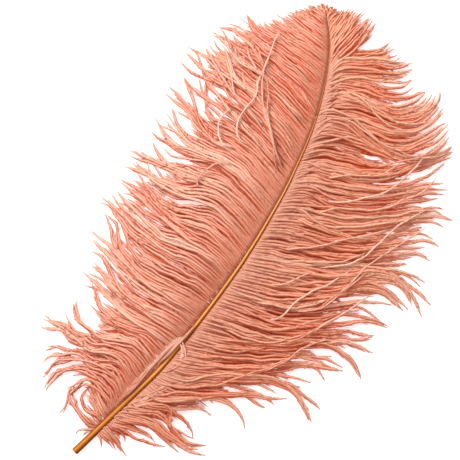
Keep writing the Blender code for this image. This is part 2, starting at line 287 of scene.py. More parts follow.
# Locks that make the outline: the run of its outer part to the tip, how many barbs are in it,
# half its width where it sets out, and how high it lies (1 is the top of the plume).
LOCKS = {
    "left": [
        ([(-25.1, 355.4), (-34.9, 357.1), (-43.5, 361.2), (-49.6, 365)], 3, 0.9, 1),
        ([(-29.9, 354.5), (-37.7, 355.6), (-43.8, 359.3), (-48.5, 363.8)], 2, 0.7, 0.8),
        ([(-23.9, 343.6), (-33.8, 347), (-41.5, 348.1), (-49.6, 348.1), (-57, 347), (-64.4, 344.3)], 2, 0.5,
         1.2),
        ([(-36.6, 331.2), (-45.5, 334.3), (-52.7, 339.2), (-57, 342.1), (-61.4, 343.7)], 1, 0.4, 0.9),
        ([(-38, 330.4), (-48.9, 334.1), (-56.4, 336.2), (-64.4, 339.4)], 1, 0.5, 1),
        ([(-37.7, 325.2), (-47.3, 327.9), (-54.7, 330), (-62.1, 334.8)], 2, 0.6, 0.8),
        ([(-41.7, 321.2), (-52, 325.3), (-58.8, 327.7), (-63.2, 329.3)], 2, 0.9, 0.7),
        ([(-42.2, 315.6), (-54.2, 319.6), (-60.7, 323.1), (-65, 326.1)], 3, 1, 0.7),
        ([(-37.9, 314.4), (-49.9, 316.6), (-60.1, 319), (-69.4, 319.6), (-74.5, 319), (-78.3, 319.5)], 2,
         0.6, 1.1),
        ([(-39, 306.6), (-52.3, 308.1), (-61.9, 310.8), (-70.4, 313.3), (-77.5, 315.6)], 2, 0.5, 0.9),
        ([(-42.8, 297.4), (-51.4, 303.3), (-59.5, 311.3), (-65.6, 315.9), (-71.1, 318.6)], 1, 0.5, 0.8),
        ([(-22.5, 280.1), (-31.8, 277.6), (-39.7, 283), (-45, 291.7), (-49.6, 301.6), (-54.8, 307.7)], 2,
         0.5, 1),
        ([(-27.2, 307.8), (-39.8, 308), (-51.3, 304.7), (-61, 302.9), (-68.5, 303.6), (-77.2, 306.3)], 2,
         0.5, 1.2),
        ([(-11.6, 286.2), (-26.3, 288.7), (-37.9, 290.3), (-49.5, 291.8), (-59.4, 293.5), (-68.5, 297.8)],
         2, 0.5, 1.1),
        ([(-24.6, 264.7), (-39.6, 272.4), (-50.9, 283.1), (-57.4, 289.2), (-62.8, 293.3), (-68.3, 297.5)],
         2, 0.6, 0.9),
        ([(-21.9, 282.2), (-36.3, 285.8), (-46.7, 291.6), (-53.2, 296.9), (-57.4, 301.3)], 1, 0.5, 0.9),
        ([(-22.8, 271), (-38.6, 273.8), (-51.7, 278.1), (-62.3, 281.2), (-70.1, 283.9), (-75.4, 284.6)], 3,
         0.8, 1),
        ([(-23.2, 265.4), (-37.3, 268.3), (-51.2, 274), (-61.8, 277), (-69.3, 277.7), (-74.9, 278.1)], 3,
         0.7, 0.9),
        ([(-34, 271.9), (-44.6, 275), (-54.1, 277.7), (-60.9, 281.9), (-64.1, 286)], 1, 0.4, 0.9),
        ([(-31.1, 270), (-41.4, 274), (-48.5, 277.2), (-55.9, 282.5)], 1, 0.5, 0.8),
        ([(-8.8, 287.7), (-19.1, 290), (-28.5, 291), (-40.4, 294.7)], 1, 0.4, 0.6),
        ([(-8.4, 277.3), (-18.1, 275.4), (-29.7, 278.8), (-38.3, 282)], 1, 0.5, 0.6),
        ([(-26, 257.6), (-39.9, 257), (-48.4, 259.4), (-56.7, 264.6), (-61, 268.5), (-64, 273)], 2, 0.6, 1),
        ([(-26.2, 254.8), (-38.4, 254.3), (-48, 257), (-56.5, 261.2), (-62.3, 264.2), (-66.9, 266.1)], 1,
         0.4, 1.1),
        ([(-25.5, 253.5), (-39.4, 252.8), (-49, 255.6), (-56.4, 257.7), (-64.4, 260.8)], 2, 0.5, 0.9),
        ([(-29, 253.3), (-40.5, 254.9), (-49.3, 256.2), (-58, 255.8), (-63.1, 255.3), (-68.1, 254.7)], 1,
         0.4, 0.8),
        ([(-20.8, 251.6), (-35.8, 249.5), (-46.8, 246.9), (-56, 249), (-64.6, 253.1), (-72.2, 259.6)], 3,
         0.6, 1),
        ([(-21.1, 248.8), (-33.9, 246.1), (-44.3, 245.6), (-53.8, 246.6), (-62.3, 245.9), (-70, 246.9)], 3,
         0.6, 1.1),
        ([(-17.1, 238.5), (-32, 236.4), (-44.3, 232.7), (-52.5, 233.1), (-58.6, 235.9), (-62.9, 238.9),
         (-65.5, 242.8)], 2, 0.6, 0.9),
        ([(-13.9, 251.9), (-27.2, 245.3), (-39.4, 239.9), (-47.3, 238.2), (-52.4, 239.3), (-56.2, 241.3)],
         1, 0.3, 0.7),
        ([(-11.4, 234.5), (-28, 232.4), (-42.6, 229.6), (-55.3, 228.4), (-66.6, 227.9), (-77.9, 225.8)], 3,
         0.7, 1),
        ([(-34.2, 230.7), (-46.7, 229.1), (-60, 228.9), (-65.4, 229), (-70.1, 229.5)], 1, 0.4, 0.9),
        ([(-24.4, 229.1), (-41.4, 227.6), (-56.7, 226.2), (-67.5, 224.7), (-75.3, 222.8)], 2, 0.6, 0.9),
        ([(-28.8, 217.7), (-42.7, 217.1), (-53.9, 218), (-61, 219.4), (-68.6, 221.9)], 2, 0.5, 0.9),
        ([(-26, 219.2), (-40.7, 218.2), (-55.9, 218.2), (-65.6, 218.2), (-71.4, 218.1)], 2, 0.5, 1.1),
        ([(-21, 216.6), (-37.4, 215.6), (-52.8, 215.9), (-61.9, 216.2), (-69.2, 214.9), (-76, 212.8)], 3,
         0.6, 1),
        ([(-31.3, 212.7), (-42.2, 212.9), (-50.7, 215.3), (-55.7, 219.6), (-60.1, 224.3)], 1, 0.4, 0.8),
        ([(-27.6, 221.9), (-38.2, 218.7), (-46.4, 220.4), (-51.7, 223.7), (-56.7, 226.2)], 1, 0.4, 0.8),
        ([(0.9, 193.2), (-15.5, 193.8), (-32.4, 196.9), (-46.2, 200.9), (-58.2, 203.1), (-66.6, 203.8),
         (-72.7, 202.8)], 3, 0.8, 1.2),
        ([(-7.2, 188.6), (-28, 192.2), (-45.7, 196.7), (-58.7, 199.3), (-71.1, 200.8)], 2, 0.7, 1),
        ([(-13.9, 197.4), (-33.2, 200), (-45.7, 204.7), (-55.2, 207.4), (-60.1, 208.3), (-64.6, 207.5)], 2,
         0.7, 0.8),
        ([(-17.7, 204.2), (-33, 202.8), (-48.5, 206.7), (-59.2, 211.5), (-63.5, 214.4)], 2, 0.8, 0.5),
        ([(-19.2, 190.9), (-37.2, 194.3), (-51.9, 196.8), (-59.8, 196.4), (-66.5, 194)], 1, 0.4, 0.8),
        ([(-18.7, 180.4), (-38.4, 183.7), (-55.4, 188.6), (-63.9, 191), (-70.7, 194.4)], 2, 0.5, 0.9),
        ([(-22.1, 176.8), (-41.4, 179.4), (-56.2, 183.7), (-65.8, 186.4), (-73.4, 189.7)], 2, 0.5, 1),
        ([(-23.3, 172.5), (-42.2, 174.5), (-58.9, 180.4), (-71.2, 183.3), (-80.9, 183.8)], 3, 0.5, 1.1),
        ([(-26.6, 168.9), (-44.1, 169.9), (-57.3, 175.9), (-66.1, 180.4), (-71.7, 180.9), (-78.3, 179.9)],
         3, 0.6, 0.9),
        ([(-31.9, 146.3), (-45.1, 152.4), (-54.1, 159), (-59.6, 165.7), (-65.1, 170.7), (-71.2, 173.6)], 2,
         0.5, 1),
        ([(-29.9, 149.2), (-44.2, 155.6), (-52.2, 163.6), (-58.1, 171), (-63.8, 173.2), (-68.7, 174)], 2,
         0.6, 0.8),
        ([(-26, 155), (-40.5, 160.3), (-48.6, 168.3), (-55.9, 174.9), (-63.4, 178.8)], 2, 0.7, 0.9),
        ([(-12.2, 143), (-28.4, 146.5), (-41.1, 150.1), (-51.1, 153.5), (-59.9, 154.9), (-66.5, 155.6),
         (-74.7, 155.9)], 3, 0.6, 1.1),
        ([(-23.9, 138.3), (-38, 141.2), (-50.4, 145.9), (-59.9, 148.6), (-69.5, 152.2)], 2, 0.5, 0.9),
        ([(-12.8, 124.8), (-29.7, 127.9), (-44.8, 137.4), (-54.1, 142.9), (-60.1, 144), (-65.8, 143.1)], 3,
         0.6, 0.9),
        ([(-18.4, 125.3), (-34.2, 128.1), (-47.7, 133.1), (-55.1, 135.2), (-60, 137.4)], 2, 0.5, 0.8),
        ([(-15.5, 123.3), (-34.8, 125.9), (-48.5, 131.3), (-55.9, 133.4), (-60.6, 133)], 1, 0.4, 0.9),
        ([(-13.4, 122.7), (-32.3, 124.7), (-45.7, 127.9), (-53.8, 127.9), (-60.4, 127.8)], 2, 0.5, 1),
        ([(-11.6, 113), (-29.9, 117.1), (-44.1, 121.7), (-54.3, 124), (-63.4, 125.2)], 3, 0.6, 1),
        ([(-12.3, 114.4), (-29.9, 117.1), (-41.6, 120.4), (-49.7, 119), (-57.5, 116.9)], 3, 0.5, 0.8),
        ([(-18.8, 103.6), (-32.5, 105.8), (-40.4, 110.3), (-45.2, 115.7), (-49.5, 118.7), (-52.9, 120.8)],
         2, 0.5, 0.9),
        ([(-11.1, 102.5), (-25, 101.9), (-35.6, 103.2), (-40.9, 104.7), (-46.4, 106.6)], 3, 0.8, 0.7),
        ([(-15.3, 103.8), (-28.3, 104.6), (-36.8, 107), (-42.5, 109.2)], 2, 0.8, 0.7),
        ([(-8.5, 91.5), (-20.6, 87.5), (-31.4, 87.7), (-42.3, 89.6), (-51.3, 94.5), (-55.6, 99.2), (-56.1,
         105.6)], 3, 0.6, 1),
        ([(-11.9, 87.8), (-26, 84.4), (-39.6, 83.1), (-49.5, 83.4), (-56, 86.9), (-58.5, 92.2)], 2, 0.5,
         0.9),
        ([(-9, 85.9), (-24.1, 81), (-39.1, 80.7), (-53.4, 80.8), (-64.5, 81.3), (-73.4, 82.2)], 3, 0.5,
         1.1),
        ([(-13.1, 83.6), (-28.2, 78.7), (-46, 78.7), (-60.5, 79.1), (-67.7, 79.1), (-73.4, 78.1)], 2, 0.4,
         1),
        ([(-8.1, 81), (-23.6, 76.9), (-38.4, 76.2), (-51.5, 77.4), (-61.6, 76.2), (-71.4, 72.1)], 3, 0.6,
         0.9),
        ([(-5.8, 76.9), (-19.5, 71.1), (-32.7, 69.1), (-42.4, 67.3), (-51, 65.2), (-56.3, 61.8), (-59.7,
         57.6)], 2, 0.5, 1),
        ([(-5.6, 73.5), (-18, 68.4), (-31.9, 67.8), (-42.6, 64.5), (-50.4, 59.3), (-54.1, 53.2), (-55.3,
         48)], 2, 0.5, 0.9),
        ([(-1.2, 68.8), (-14.8, 67.5), (-27.3, 65.9), (-37, 62.5), (-44.1, 57.6), (-47.7, 49.6), (-50,
         42.5), (-51.7, 36.7)], 3, 0.6, 0.9),
        ([(0.6, 59.1), (-10.3, 61), (-21, 60.9), (-31.3, 57), (-38.5, 50.7), (-43, 42.8), (-43.4, 36.3),
         (-41.9, 29.2)], 4, 0.9, 0.8),
        ([(3.8, 50.1), (-5.8, 52.9), (-14.6, 54.2), (-21, 52.9), (-24.2, 44.4), (-25, 36.8), (-23.9, 29.4),
         (-23.7, 19.2)], 3, 0.6, 0.8),
        ([(6.3, 24.8), (-1.3, 24.1), (-10.6, 27.8), (-18.5, 32.4), (-23.9, 36.5), (-24.7, 41.9), (-22,
         48.3)], 2, 0.5, 1),
        ([(0.3, 33.9), (-6.3, 32.9), (-12.3, 35.8), (-15.7, 40.2), (-16.3, 46.1), (-16.5, 51.3)], 2, 0.6,
         0.8),
        ([(5.7, 22.6), (0.4, 20.9), (-4.9, 17.6), (-6.5, 14.9), (-6.8, 12.1)], 1, 0.5, 0.9),
        ([(4.7, 21.2), (1.3, 18.4), (-0, 14.5)], 1, 0.5, 0.7),
        ([(0.6, 399.2), (-1.6, 399.8), (-2.6, 400.1)], 1, 0.4, 0.8),
        ([(3.1, 396.1), (-1.8, 397), (-5.5, 397.3)], 2, 0.6, 0.8),
        ([(5.3, 393.8), (-2.2, 394.5), (-7.8, 394.9)], 2, 0.7, 0.8),
        ([(6.8, 391.1), (-3.5, 392), (-10.2, 392.7)], 2, 0.8, 0.8),
        ([(3.1, 388.1), (-5.7, 389.5), (-12.7, 390)], 2, 0.8, 0.9),
        ([(2.9, 385.3), (-6.7, 386.6), (-15, 386.9)], 2, 0.8, 0.8),
        ([(0.9, 382.4), (-9.8, 384), (-18.1, 384.6)], 2, 0.9, 0.9),
        ([(-1, 379.5), (-11.7, 381.2), (-21.3, 382.3)], 2, 0.9, 0.8),
        ([(-0.2, 376.4), (-11.8, 378), (-21.6, 379.7)], 2, 0.9, 0.9),
        ([(-1.5, 373.9), (-13.1, 375.5), (-22.4, 377.4)], 2, 0.9, 0.8),
        ([(-2.4, 370.7), (-13.3, 372.7), (-22.5, 374.7)], 2, 0.9, 0.9),
        ([(-4, 368.9), (-15.8, 370.8), (-25, 372.9)], 2, 0.9, 0.8),
        ([(-6.4, 366.7), (-18.9, 368.3), (-29.7, 370.1)], 2, 0.8, 0.9),
        ([(-9.4, 364.1), (-21, 365.7), (-32, 366.3)], 2, 0.9, 0.8),
        ([(-12.4, 361.6), (-24.7, 362.8), (-35, 364.4)], 2, 0.9, 0.9),
        ([(-14.4, 358.7), (-25.6, 359.6), (-33.7, 361.3)], 2, 0.9, 0.7),
        ([(-23, 354.8), (-33.2, 357.2), (-41.8, 358.2), (-44.3, 354.6)], 2, 0.9, 0.6),
        ([(-25.4, 346.3), (-35.2, 348), (-43.3, 349.7), (-44.9, 346.2)], 2, 0.9, 0.6),
        ([(-27.8, 337.8), (-38.4, 340.9), (-46.5, 342.6), (-50.9, 345.1)], 2, 0.9, 0.6),
        ([(-29.8, 335), (-38.9, 337), (-46, 338.4), (-49.4, 336.5)], 2, 0.9, 0.6),
    ],
    "right": [
        ([(9.3, 21), (13.2, 19.6), (15.7, 16.6), (17.8, 12.9)], 1, 0.4, 0.7),
        ([(10.2, 24.2), (15.5, 22.7), (20.8, 21.2), (24.4, 18.7), (28.4, 15.6)], 2, 0.4, 0.8),
        ([(10.7, 28.1), (17.1, 26.3), (24.2, 23.1), (30.3, 20.2), (37.4, 15.4)], 2, 0.5, 0.7),
        ([(11.9, 32.3), (19.3, 30.2), (23.9, 30.1), (27.5, 27.6), (30.1, 23.7)], 2, 0.4, 0.9),
        ([(12.3, 31.7), (20.2, 33.4), (28.5, 33.1), (37.7, 32.4), (47.6, 34.1), (54.7, 35.6), (61.2, 36.8)],
         2, 0.5, 1),
        ([(13.9, 35.2), (25.3, 37.1), (35, 38.9), (43.2, 38.6), (47.5, 37.4), (51.9, 35.9)], 2, 0.6, 0.8),
        ([(13.6, 40.4), (25.8, 42.7), (37.1, 46.4), (48.3, 45.5), (57.9, 42.8), (65.7, 40), (72.2, 39.5)],
         3, 0.6, 0.9),
        ([(14.5, 43.6), (27, 47), (39.1, 49.3), (49.6, 48), (61.6, 45.7), (72.6, 45.2), (80.4, 44), (91.4,
         48.3)], 3, 0.6, 1),
        ([(16.7, 49.3), (29.2, 52.7), (39.8, 57.7), (49.6, 56), (59.5, 52.6), (68.8, 48.8), (75.9, 48.9),
         (88.8, 54.6)], 3, 0.6, 1.1),
        ([(33.3, 61.2), (45, 65.9), (49.6, 64), (50.9, 58.5), (56.7, 52.8), (65.6, 49.7), (73, 47.6)], 2,
         0.5, 0.8),
        ([(26.1, 58.1), (39.2, 61.8), (50.1, 64.8), (59.2, 64.5), (68.2, 61), (73.3, 56.7), (75.3, 52.4)],
         2, 0.5, 1),
        ([(22.4, 55.1), (34.3, 62.7), (48.1, 66.8), (59.4, 72.1), (69.3, 76.8), (75.2, 77.4), (80.3, 76.2)],
         2, 0.5, 0.9),
        ([(54.9, 78.6), (61.8, 83.8), (68.5, 86.2), (72.7, 86.7), (76.9, 85.5)], 1, 0.3, 0.8),
        ([(37.9, 69.1), (51.9, 76), (64.3, 84.2), (75.5, 89.6), (85.7, 92.2), (94.9, 90.1), (102.8, 85.6),
         (107.6, 79.3)], 3, 0.6, 0.9),
        ([(52.6, 82.7), (66.9, 90.6), (80.3, 97.2), (94.4, 102.3), (102.6, 102), (108, 101.9), (115,
         102.2)], 2, 0.5, 0.8),
        ([(53.8, 88.7), (69.4, 99.1), (85.5, 105.4), (98.6, 109.2), (108.7, 108.6), (114.2, 108.4), (119,
         106.2)], 2, 0.5, 0.7),
        ([(50, 79.4), (67.4, 88.2), (84.4, 97.7), (97.9, 105.6), (109.2, 109.3), (118.2, 112.3), (125.6,
         117.5)], 3, 0.6, 0.9),
        ([(68.9, 101.6), (85, 109.6), (97.8, 115.4), (107, 116.5), (112.2, 116.7), (117.1, 115.9)], 1, 0.3,
         0.8),
        ([(76.2, 109.2), (93.4, 116.9), (108.2, 123.9), (120.2, 124.8), (130.5, 122.4), (139.4, 117.6),
         (150.8, 108.8)], 4, 0.9, 1),
        ([(94.3, 120.1), (107.7, 124.9), (119.1, 126.8), (128.2, 126.5), (137.9, 125.2), (145.6, 124.2),
         (152.5, 121.3)], 2, 0.5, 0.9),
        ([(104.9, 125.1), (117, 127.4), (125.5, 128.1), (130.4, 130.7)], 1, 0.4, 0.7),
        ([(85.2, 118.7), (100.6, 126.3), (113.8, 131.5), (124.7, 134.4), (130.2, 135.7), (136.1, 136.3)], 1,
         0.35, 0.8),
        ([(82.9, 116.5), (98.9, 126.3), (112.2, 135.9), (121.1, 144), (130.4, 148.3), (137, 147.5), (144.6,
         142.8)], 2, 0.5, 0.9),
        ([(87.8, 123.7), (104.1, 134.5), (120.6, 145), (133.6, 150.5), (144.1, 154.1), (153.7, 156.1)], 3,
         0.6, 0.7),
        ([(100.3, 141.3), (116.4, 149.4), (128.1, 152.4), (137.8, 154.2), (146.8, 155.6), (153.4, 156.6)],
         1, 0.5, 0.8),
        ([(98.8, 144.1), (115.2, 151.4), (128.3, 155.2), (137.8, 158.9), (145.6, 159.4), (152.3, 158.7)], 2,
         0.4, 0.9),
        ([(93, 133.7), (107.9, 143.8), (121.3, 151.7), (130.4, 156.3), (135.6, 159.7), (139.4, 163.4)], 1,
         0.4, 0.9),
        ([(101.4, 147.3), (113.5, 151.4), (118.4, 155.3), (123.3, 157.7), (130.2, 156.6)], 1, 0.4, 0.9),
        ([(87.7, 143.2), (104.4, 151.7), (119.6, 162.8), (133.3, 168.6), (146.6, 168.9), (157.6, 165.2),
         (164.4, 160.9), (168.9, 157.2)], 4, 1, 1.1),
        ([(101.1, 156), (118.9, 164.2), (132.9, 171.1), (143.6, 177.5), (152.2, 179.6), (160.1, 180),
         (167.1, 180.9)], 3, 0.6, 0.9),
        ([(101.8, 162.7), (119.3, 169.8), (134.9, 177.1), (145, 181.4), (152.2, 184.5), (157.4, 187.9),
         (160.4, 191.3)], 2, 0.4, 0.8),
        ([(93.9, 161), (112, 170.1), (128.5, 178.9), (140.1, 185.4), (149.9, 188.6), (156.7, 190.8), (161.2,
         194)], 3, 0.6, 1),
        ([(90.8, 166.4), (109.7, 174.2), (124.7, 182.6), (138.2, 191.9), (149.9, 199.8), (160.4, 203.4),
         (167.5, 203.5)], 3, 0.7, 1.1),
        ([(103.7, 175.4), (118.3, 184.4), (131.4, 196.1), (143.3, 200.5), (153.9, 203.8), (162.6, 204.2),
         (167.4, 203.7)], 2, 0.6, 0.8),
        ([(105.5, 181.7), (120.7, 192.9), (134, 204.3), (143.5, 206.5), (152.6, 206.2), (162.2, 203.4)], 1,
         0.4, 0.9),
        ([(99.1, 183.5), (116.5, 194.1), (129.8, 205.5), (141.7, 213), (152.6, 217.5), (161.9, 220.7)], 2,
         0.6, 0.9),
        ([(115.8, 201.7), (128.5, 214.2), (139.1, 222.3), (149.3, 224.9), (157.3, 223.5), (164.5, 221.3)],
         2, 0.5, 0.8),
        ([(118.4, 206.7), (131.5, 218.5), (142.2, 224.9), (153.8, 226.5), (163.4, 223.8), (172.2, 220.7)],
         3, 0.7, 0.9),
        ([(119.6, 211), (130.9, 222.7), (142, 228.4), (153.3, 228.9), (164, 225.9), (174.6, 222.9)], 3, 0.6,
         1),
        ([(120.7, 217), (133.5, 227.7), (146.6, 234.5), (157.9, 236.8), (167.4, 234.1), (175, 226.9)], 4,
         0.8, 0.9),
        ([(121.1, 224.3), (136.1, 235.8), (149.2, 239.5), (162.7, 237.7), (174.1, 233.3), (181.7, 227.7),
         (185.9, 222.9)], 3, 0.7, 1.1),
        ([(118.2, 226.3), (132.4, 236), (144.6, 241.4), (157.4, 240.9), (170.7, 239.4), (180.5, 237.8),
         (189, 234.9)], 3, 0.5, 1),
        ([(114.3, 228.6), (129.9, 237.3), (144.7, 242.8), (155, 246.8), (163.6, 248.9), (169.9, 248.8),
         (175.6, 247.5)], 2, 0.4, 0.9),
        ([(102.9, 224.9), (121, 234.1), (135.8, 242.8), (148.3, 249.3), (156.1, 255.2)], 3, 0.7, 0.8),
        ([(99.9, 230.4), (118, 239.5), (133.7, 249.7), (147, 257.9), (156.2, 263.9), (164.8, 266.1), (170.9,
         265.5)], 3, 0.6, 1),
        ([(109, 230.1), (126.3, 240.6), (140.5, 250.3), (150.1, 255.6), (156.8, 261.2)], 2, 0.9, 0.7),
        ([(99.5, 239.1), (117.3, 247.2), (132.5, 258.3), (146.3, 268.7), (158, 276.6), (166, 278.3), (172.4,
         278.1)], 3, 0.8, 1),
        ([(107.8, 240.1), (125.6, 248.3), (141.2, 258.7), (152.9, 266.6), (162.1, 272.6)], 2, 0.9, 0.7),
        ([(93.8, 241.3), (111.5, 251.1), (128.1, 263), (143.1, 274.5), (152.9, 279.5), (164.9, 281.5)], 2,
         0.5, 0.9),
        ([(90, 248.1), (109.5, 258), (125.3, 271.3), (139.9, 283.5), (151.3, 290.3), (161.1, 293.5), (167.2,
         293.8)], 3, 0.7, 1),
        ([(83.6, 251.6), (103.8, 260.2), (122, 273.9), (138.4, 286.2), (152.6, 295.9), (163.7, 300.1),
         (171.6, 300.9)], 4, 0.6, 1.1),
        ([(84.7, 257.6), (104.5, 266.9), (122.9, 278.9), (139.1, 291.5), (151.9, 300.4), (159.4, 301.4),
         (165.7, 301.4)], 3, 0.8, 0.8),
        ([(82.4, 261.7), (101.6, 268.9), (119.4, 278.7), (134.4, 290.2), (147.1, 299.5), (155.3, 304.1),
         (161.1, 304.9)], 2, 0.5, 1),
        ([(79.8, 266.5), (99.7, 272.3), (117.5, 282.1), (130.2, 294.6), (140.1, 302.3), (148.1, 307.2),
         (152.8, 311.6)], 3, 0.9, 0.8),
        ([(85.1, 273), (103.9, 280.8), (120.9, 292.1), (134.2, 303.5), (144, 311.4), (151.1, 314.7), (155.7,
         315.3)], 3, 0.6, 0.9),
        ([(79, 275.9), (98.2, 283), (116.6, 293.3), (131.1, 305.8), (142.3, 314.4), (150, 318.3), (157,
         320.2)], 2, 0.5, 1),
        ([(80.1, 281.9), (99.4, 289), (117.1, 298.9), (130.7, 309.6), (140.9, 317), (151.1, 323.6)], 2, 0.5,
         0.9),
        ([(70.6, 282.8), (90.6, 288.6), (109.5, 296.4), (124, 307.2), (135, 319.6), (139.5, 329.2), (143.3,
         338.4)], 2, 0.6, 0.8),
        ([(64.6, 285.7), (85.3, 291.9), (104.7, 301.8), (119.8, 316.4), (131.9, 329.9), (139.8, 338.3),
         (147.2, 344.7)], 4, 0.8, 1.1),
        ([(59.9, 289.4), (81.2, 295.9), (101.5, 304.5), (116.2, 318), (128.9, 332.2), (136.8, 342), (140.8,
         347.8), (141.2, 352.9)], 4, 0.9, 0.9),
        ([(74.4, 292.1), (94, 298.5), (110.6, 310.5), (124.3, 324.3), (135.7, 336), (142.5, 344.7), (143.5,
         349.3)], 3, 0.7, 0.8),
        ([(70.8, 317.8), (91.8, 318.7), (109.2, 322.6), (123.8, 331.6), (132.1, 342.5), (135.7, 350.3),
         (136.7, 357.7)], 3, 0.7, 0.8),
        ([(56.6, 316.1), (74.9, 320), (93.3, 322.3), (109.3, 328.9), (122.6, 340.3), (130.3, 350.4), (134.3,
         362)], 3, 0.7, 1),
        ([(51.3, 317.6), (68.6, 321.9), (88.7, 324.2), (107, 329.8), (118, 342.2), (126.5, 354.1), (130.8,
         366.1)], 4, 0.7, 1.1),
        ([(65.9, 326.6), (84.9, 331), (102.6, 334.5), (114.1, 342.7), (120.8, 353.2), (125.5, 360.7),
         (129.4, 366)], 2, 0.5, 0.8),
        ([(54.7, 327.5), (72.6, 333.9), (90.6, 336.8), (106.7, 343.1), (116.7, 355.8), (120.5, 366.4),
         (122.1, 374.9)], 4, 0.8, 1),
        ([(56.2, 332.8), (73.4, 338.8), (91.1, 342.4), (105.4, 348.6), (113.5, 359.8), (117, 368), (118.4,
         374.6)], 3, 0.7, 0.9),
        ([(49, 337.8), (65.1, 344.1), (83.6, 346.3), (99.1, 350.4), (110.4, 362.1), (115.1, 374.6), (114.8,
         381.5), (112, 385.8)], 4, 0.7, 1.1),
        ([(51.3, 341.7), (67.1, 346.9), (85.9, 348.5), (100.3, 354.7), (108.5, 365.5), (111.6, 374.4),
         (111.9, 381.2)], 3, 0.6, 0.9),
        ([(47, 344.6), (61.7, 350.2), (80.9, 351), (95.7, 356.6), (104.7, 366.1), (108, 374.6), (108.3,
         380.8)], 3, 0.7, 1),
        ([(47.9, 347.8), (66.6, 351.1), (83.6, 352.6), (96.3, 358.7), (103.7, 367.8), (106.6, 376.5)], 2,
         0.6, 0.8),
        ([(42.2, 350), (60.1, 356.4), (78.1, 359.3), (90.4, 366.1), (97.7, 373.8), (102.8, 379.6)], 3, 0.7,
         1),
        ([(51.3, 349.7), (69.7, 351.9), (85.6, 355.4), (95.9, 362.5), (100.5, 370.4), (102.7, 379.2)], 2,
         0.5, 0.8),
        ([(40.7, 352.7), (56.4, 359.7), (74.4, 362.6), (86.1, 367.3), (90.6, 372.1), (93.5, 377.7)], 3, 0.8,
         0.8),
        ([(46, 359.3), (58.6, 365.4), (71.8, 370.5), (80.6, 374.1), (85.7, 377.8), (89, 382.6)], 1, 0.5,
         0.9),
        ([(43.3, 356), (59, 361.6), (74.3, 366.1), (83.5, 372.1), (87.6, 377.5), (88.9, 382.3)], 2, 0.5,
         0.7),
        ([(41.4, 359.4), (57.5, 367.5), (73, 374.8), (81, 379.7), (85, 383.7)], 2, 0.7, 0.7),
        ([(37.1, 362.4), (53.6, 371.1), (69.8, 377.4), (79.5, 382.4), (85.8, 389.2)], 3, 0.7, 1),
        ([(35.6, 365.1), (51.7, 374.5), (69.2, 381.6), (77.7, 387.2), (82.2, 392.4)], 3, 0.7, 0.9),
        ([(34.1, 367.8), (48.5, 377.2), (62.5, 384.1), (72.8, 388), (78.8, 392.5)], 3, 0.7, 1),
        ([(35, 371), (49.1, 379.3), (61.4, 386), (65.9, 389.1), (69.9, 393.7)], 2, 0.5, 0.9),
        ([(33.3, 369.2), (45.4, 379.5), (55.8, 386.6), (61.8, 391.7), (66.8, 396.7)], 2, 0.6, 0.8),
        ([(32.9, 369.9), (43.3, 380.1), (53.3, 387.9), (57.9, 394), (61.1, 400.5)], 2, 0.5, 1),
        ([(30.3, 366.6), (35.4, 376.6), (39.2, 389), (41.8, 398.9), (44.2, 408.5)], 3, 0.6, 1),
        ([(28.8, 369.3), (33.1, 380.7), (36.1, 393.1), (38.5, 401.5), (40.1, 407.8)], 3, 0.9, 0.9),
        ([(26.2, 372.4), (29.8, 385.1), (32.1, 397.1), (35.9, 408.6)], 3, 0.9, 1),
        ([(24.3, 375.8), (26.5, 387.7), (27.4, 399), (29.7, 407.8)], 3, 0.9, 0.9),
        ([(22.1, 378.1), (23.7, 389.7), (23.9, 400.5), (26.2, 408.5)], 3, 0.9, 1),
        ([(19.5, 381.1), (21.5, 392.1), (21.1, 400.8), (22.3, 407.4)], 3, 0.9, 0.9),
        ([(16.9, 384.2), (18.6, 394), (18.6, 402.1), (18.9, 406.3)], 2, 0.9, 1),
        ([(14.7, 386.5), (15.7, 396), (16.2, 401.6), (15.7, 404.9)], 2, 0.9, 0.9),
        ([(11.1, 389.8), (11.8, 396.5), (12.6, 400), (13.4, 401.8)], 2, 0.7, 0.9),
        ([(8.1, 393.6), (9.2, 398.1), (11.1, 401.9)], 2, 0.6, 0.8),
        ([(4.5, 396.9), (5.6, 399.7), (7.6, 401.7)], 1, 0.5, 0.8),
        ([(2, 399), (2.2, 401), (2.7, 401.7)], 1, 0.4, 0.8),
    ],
}

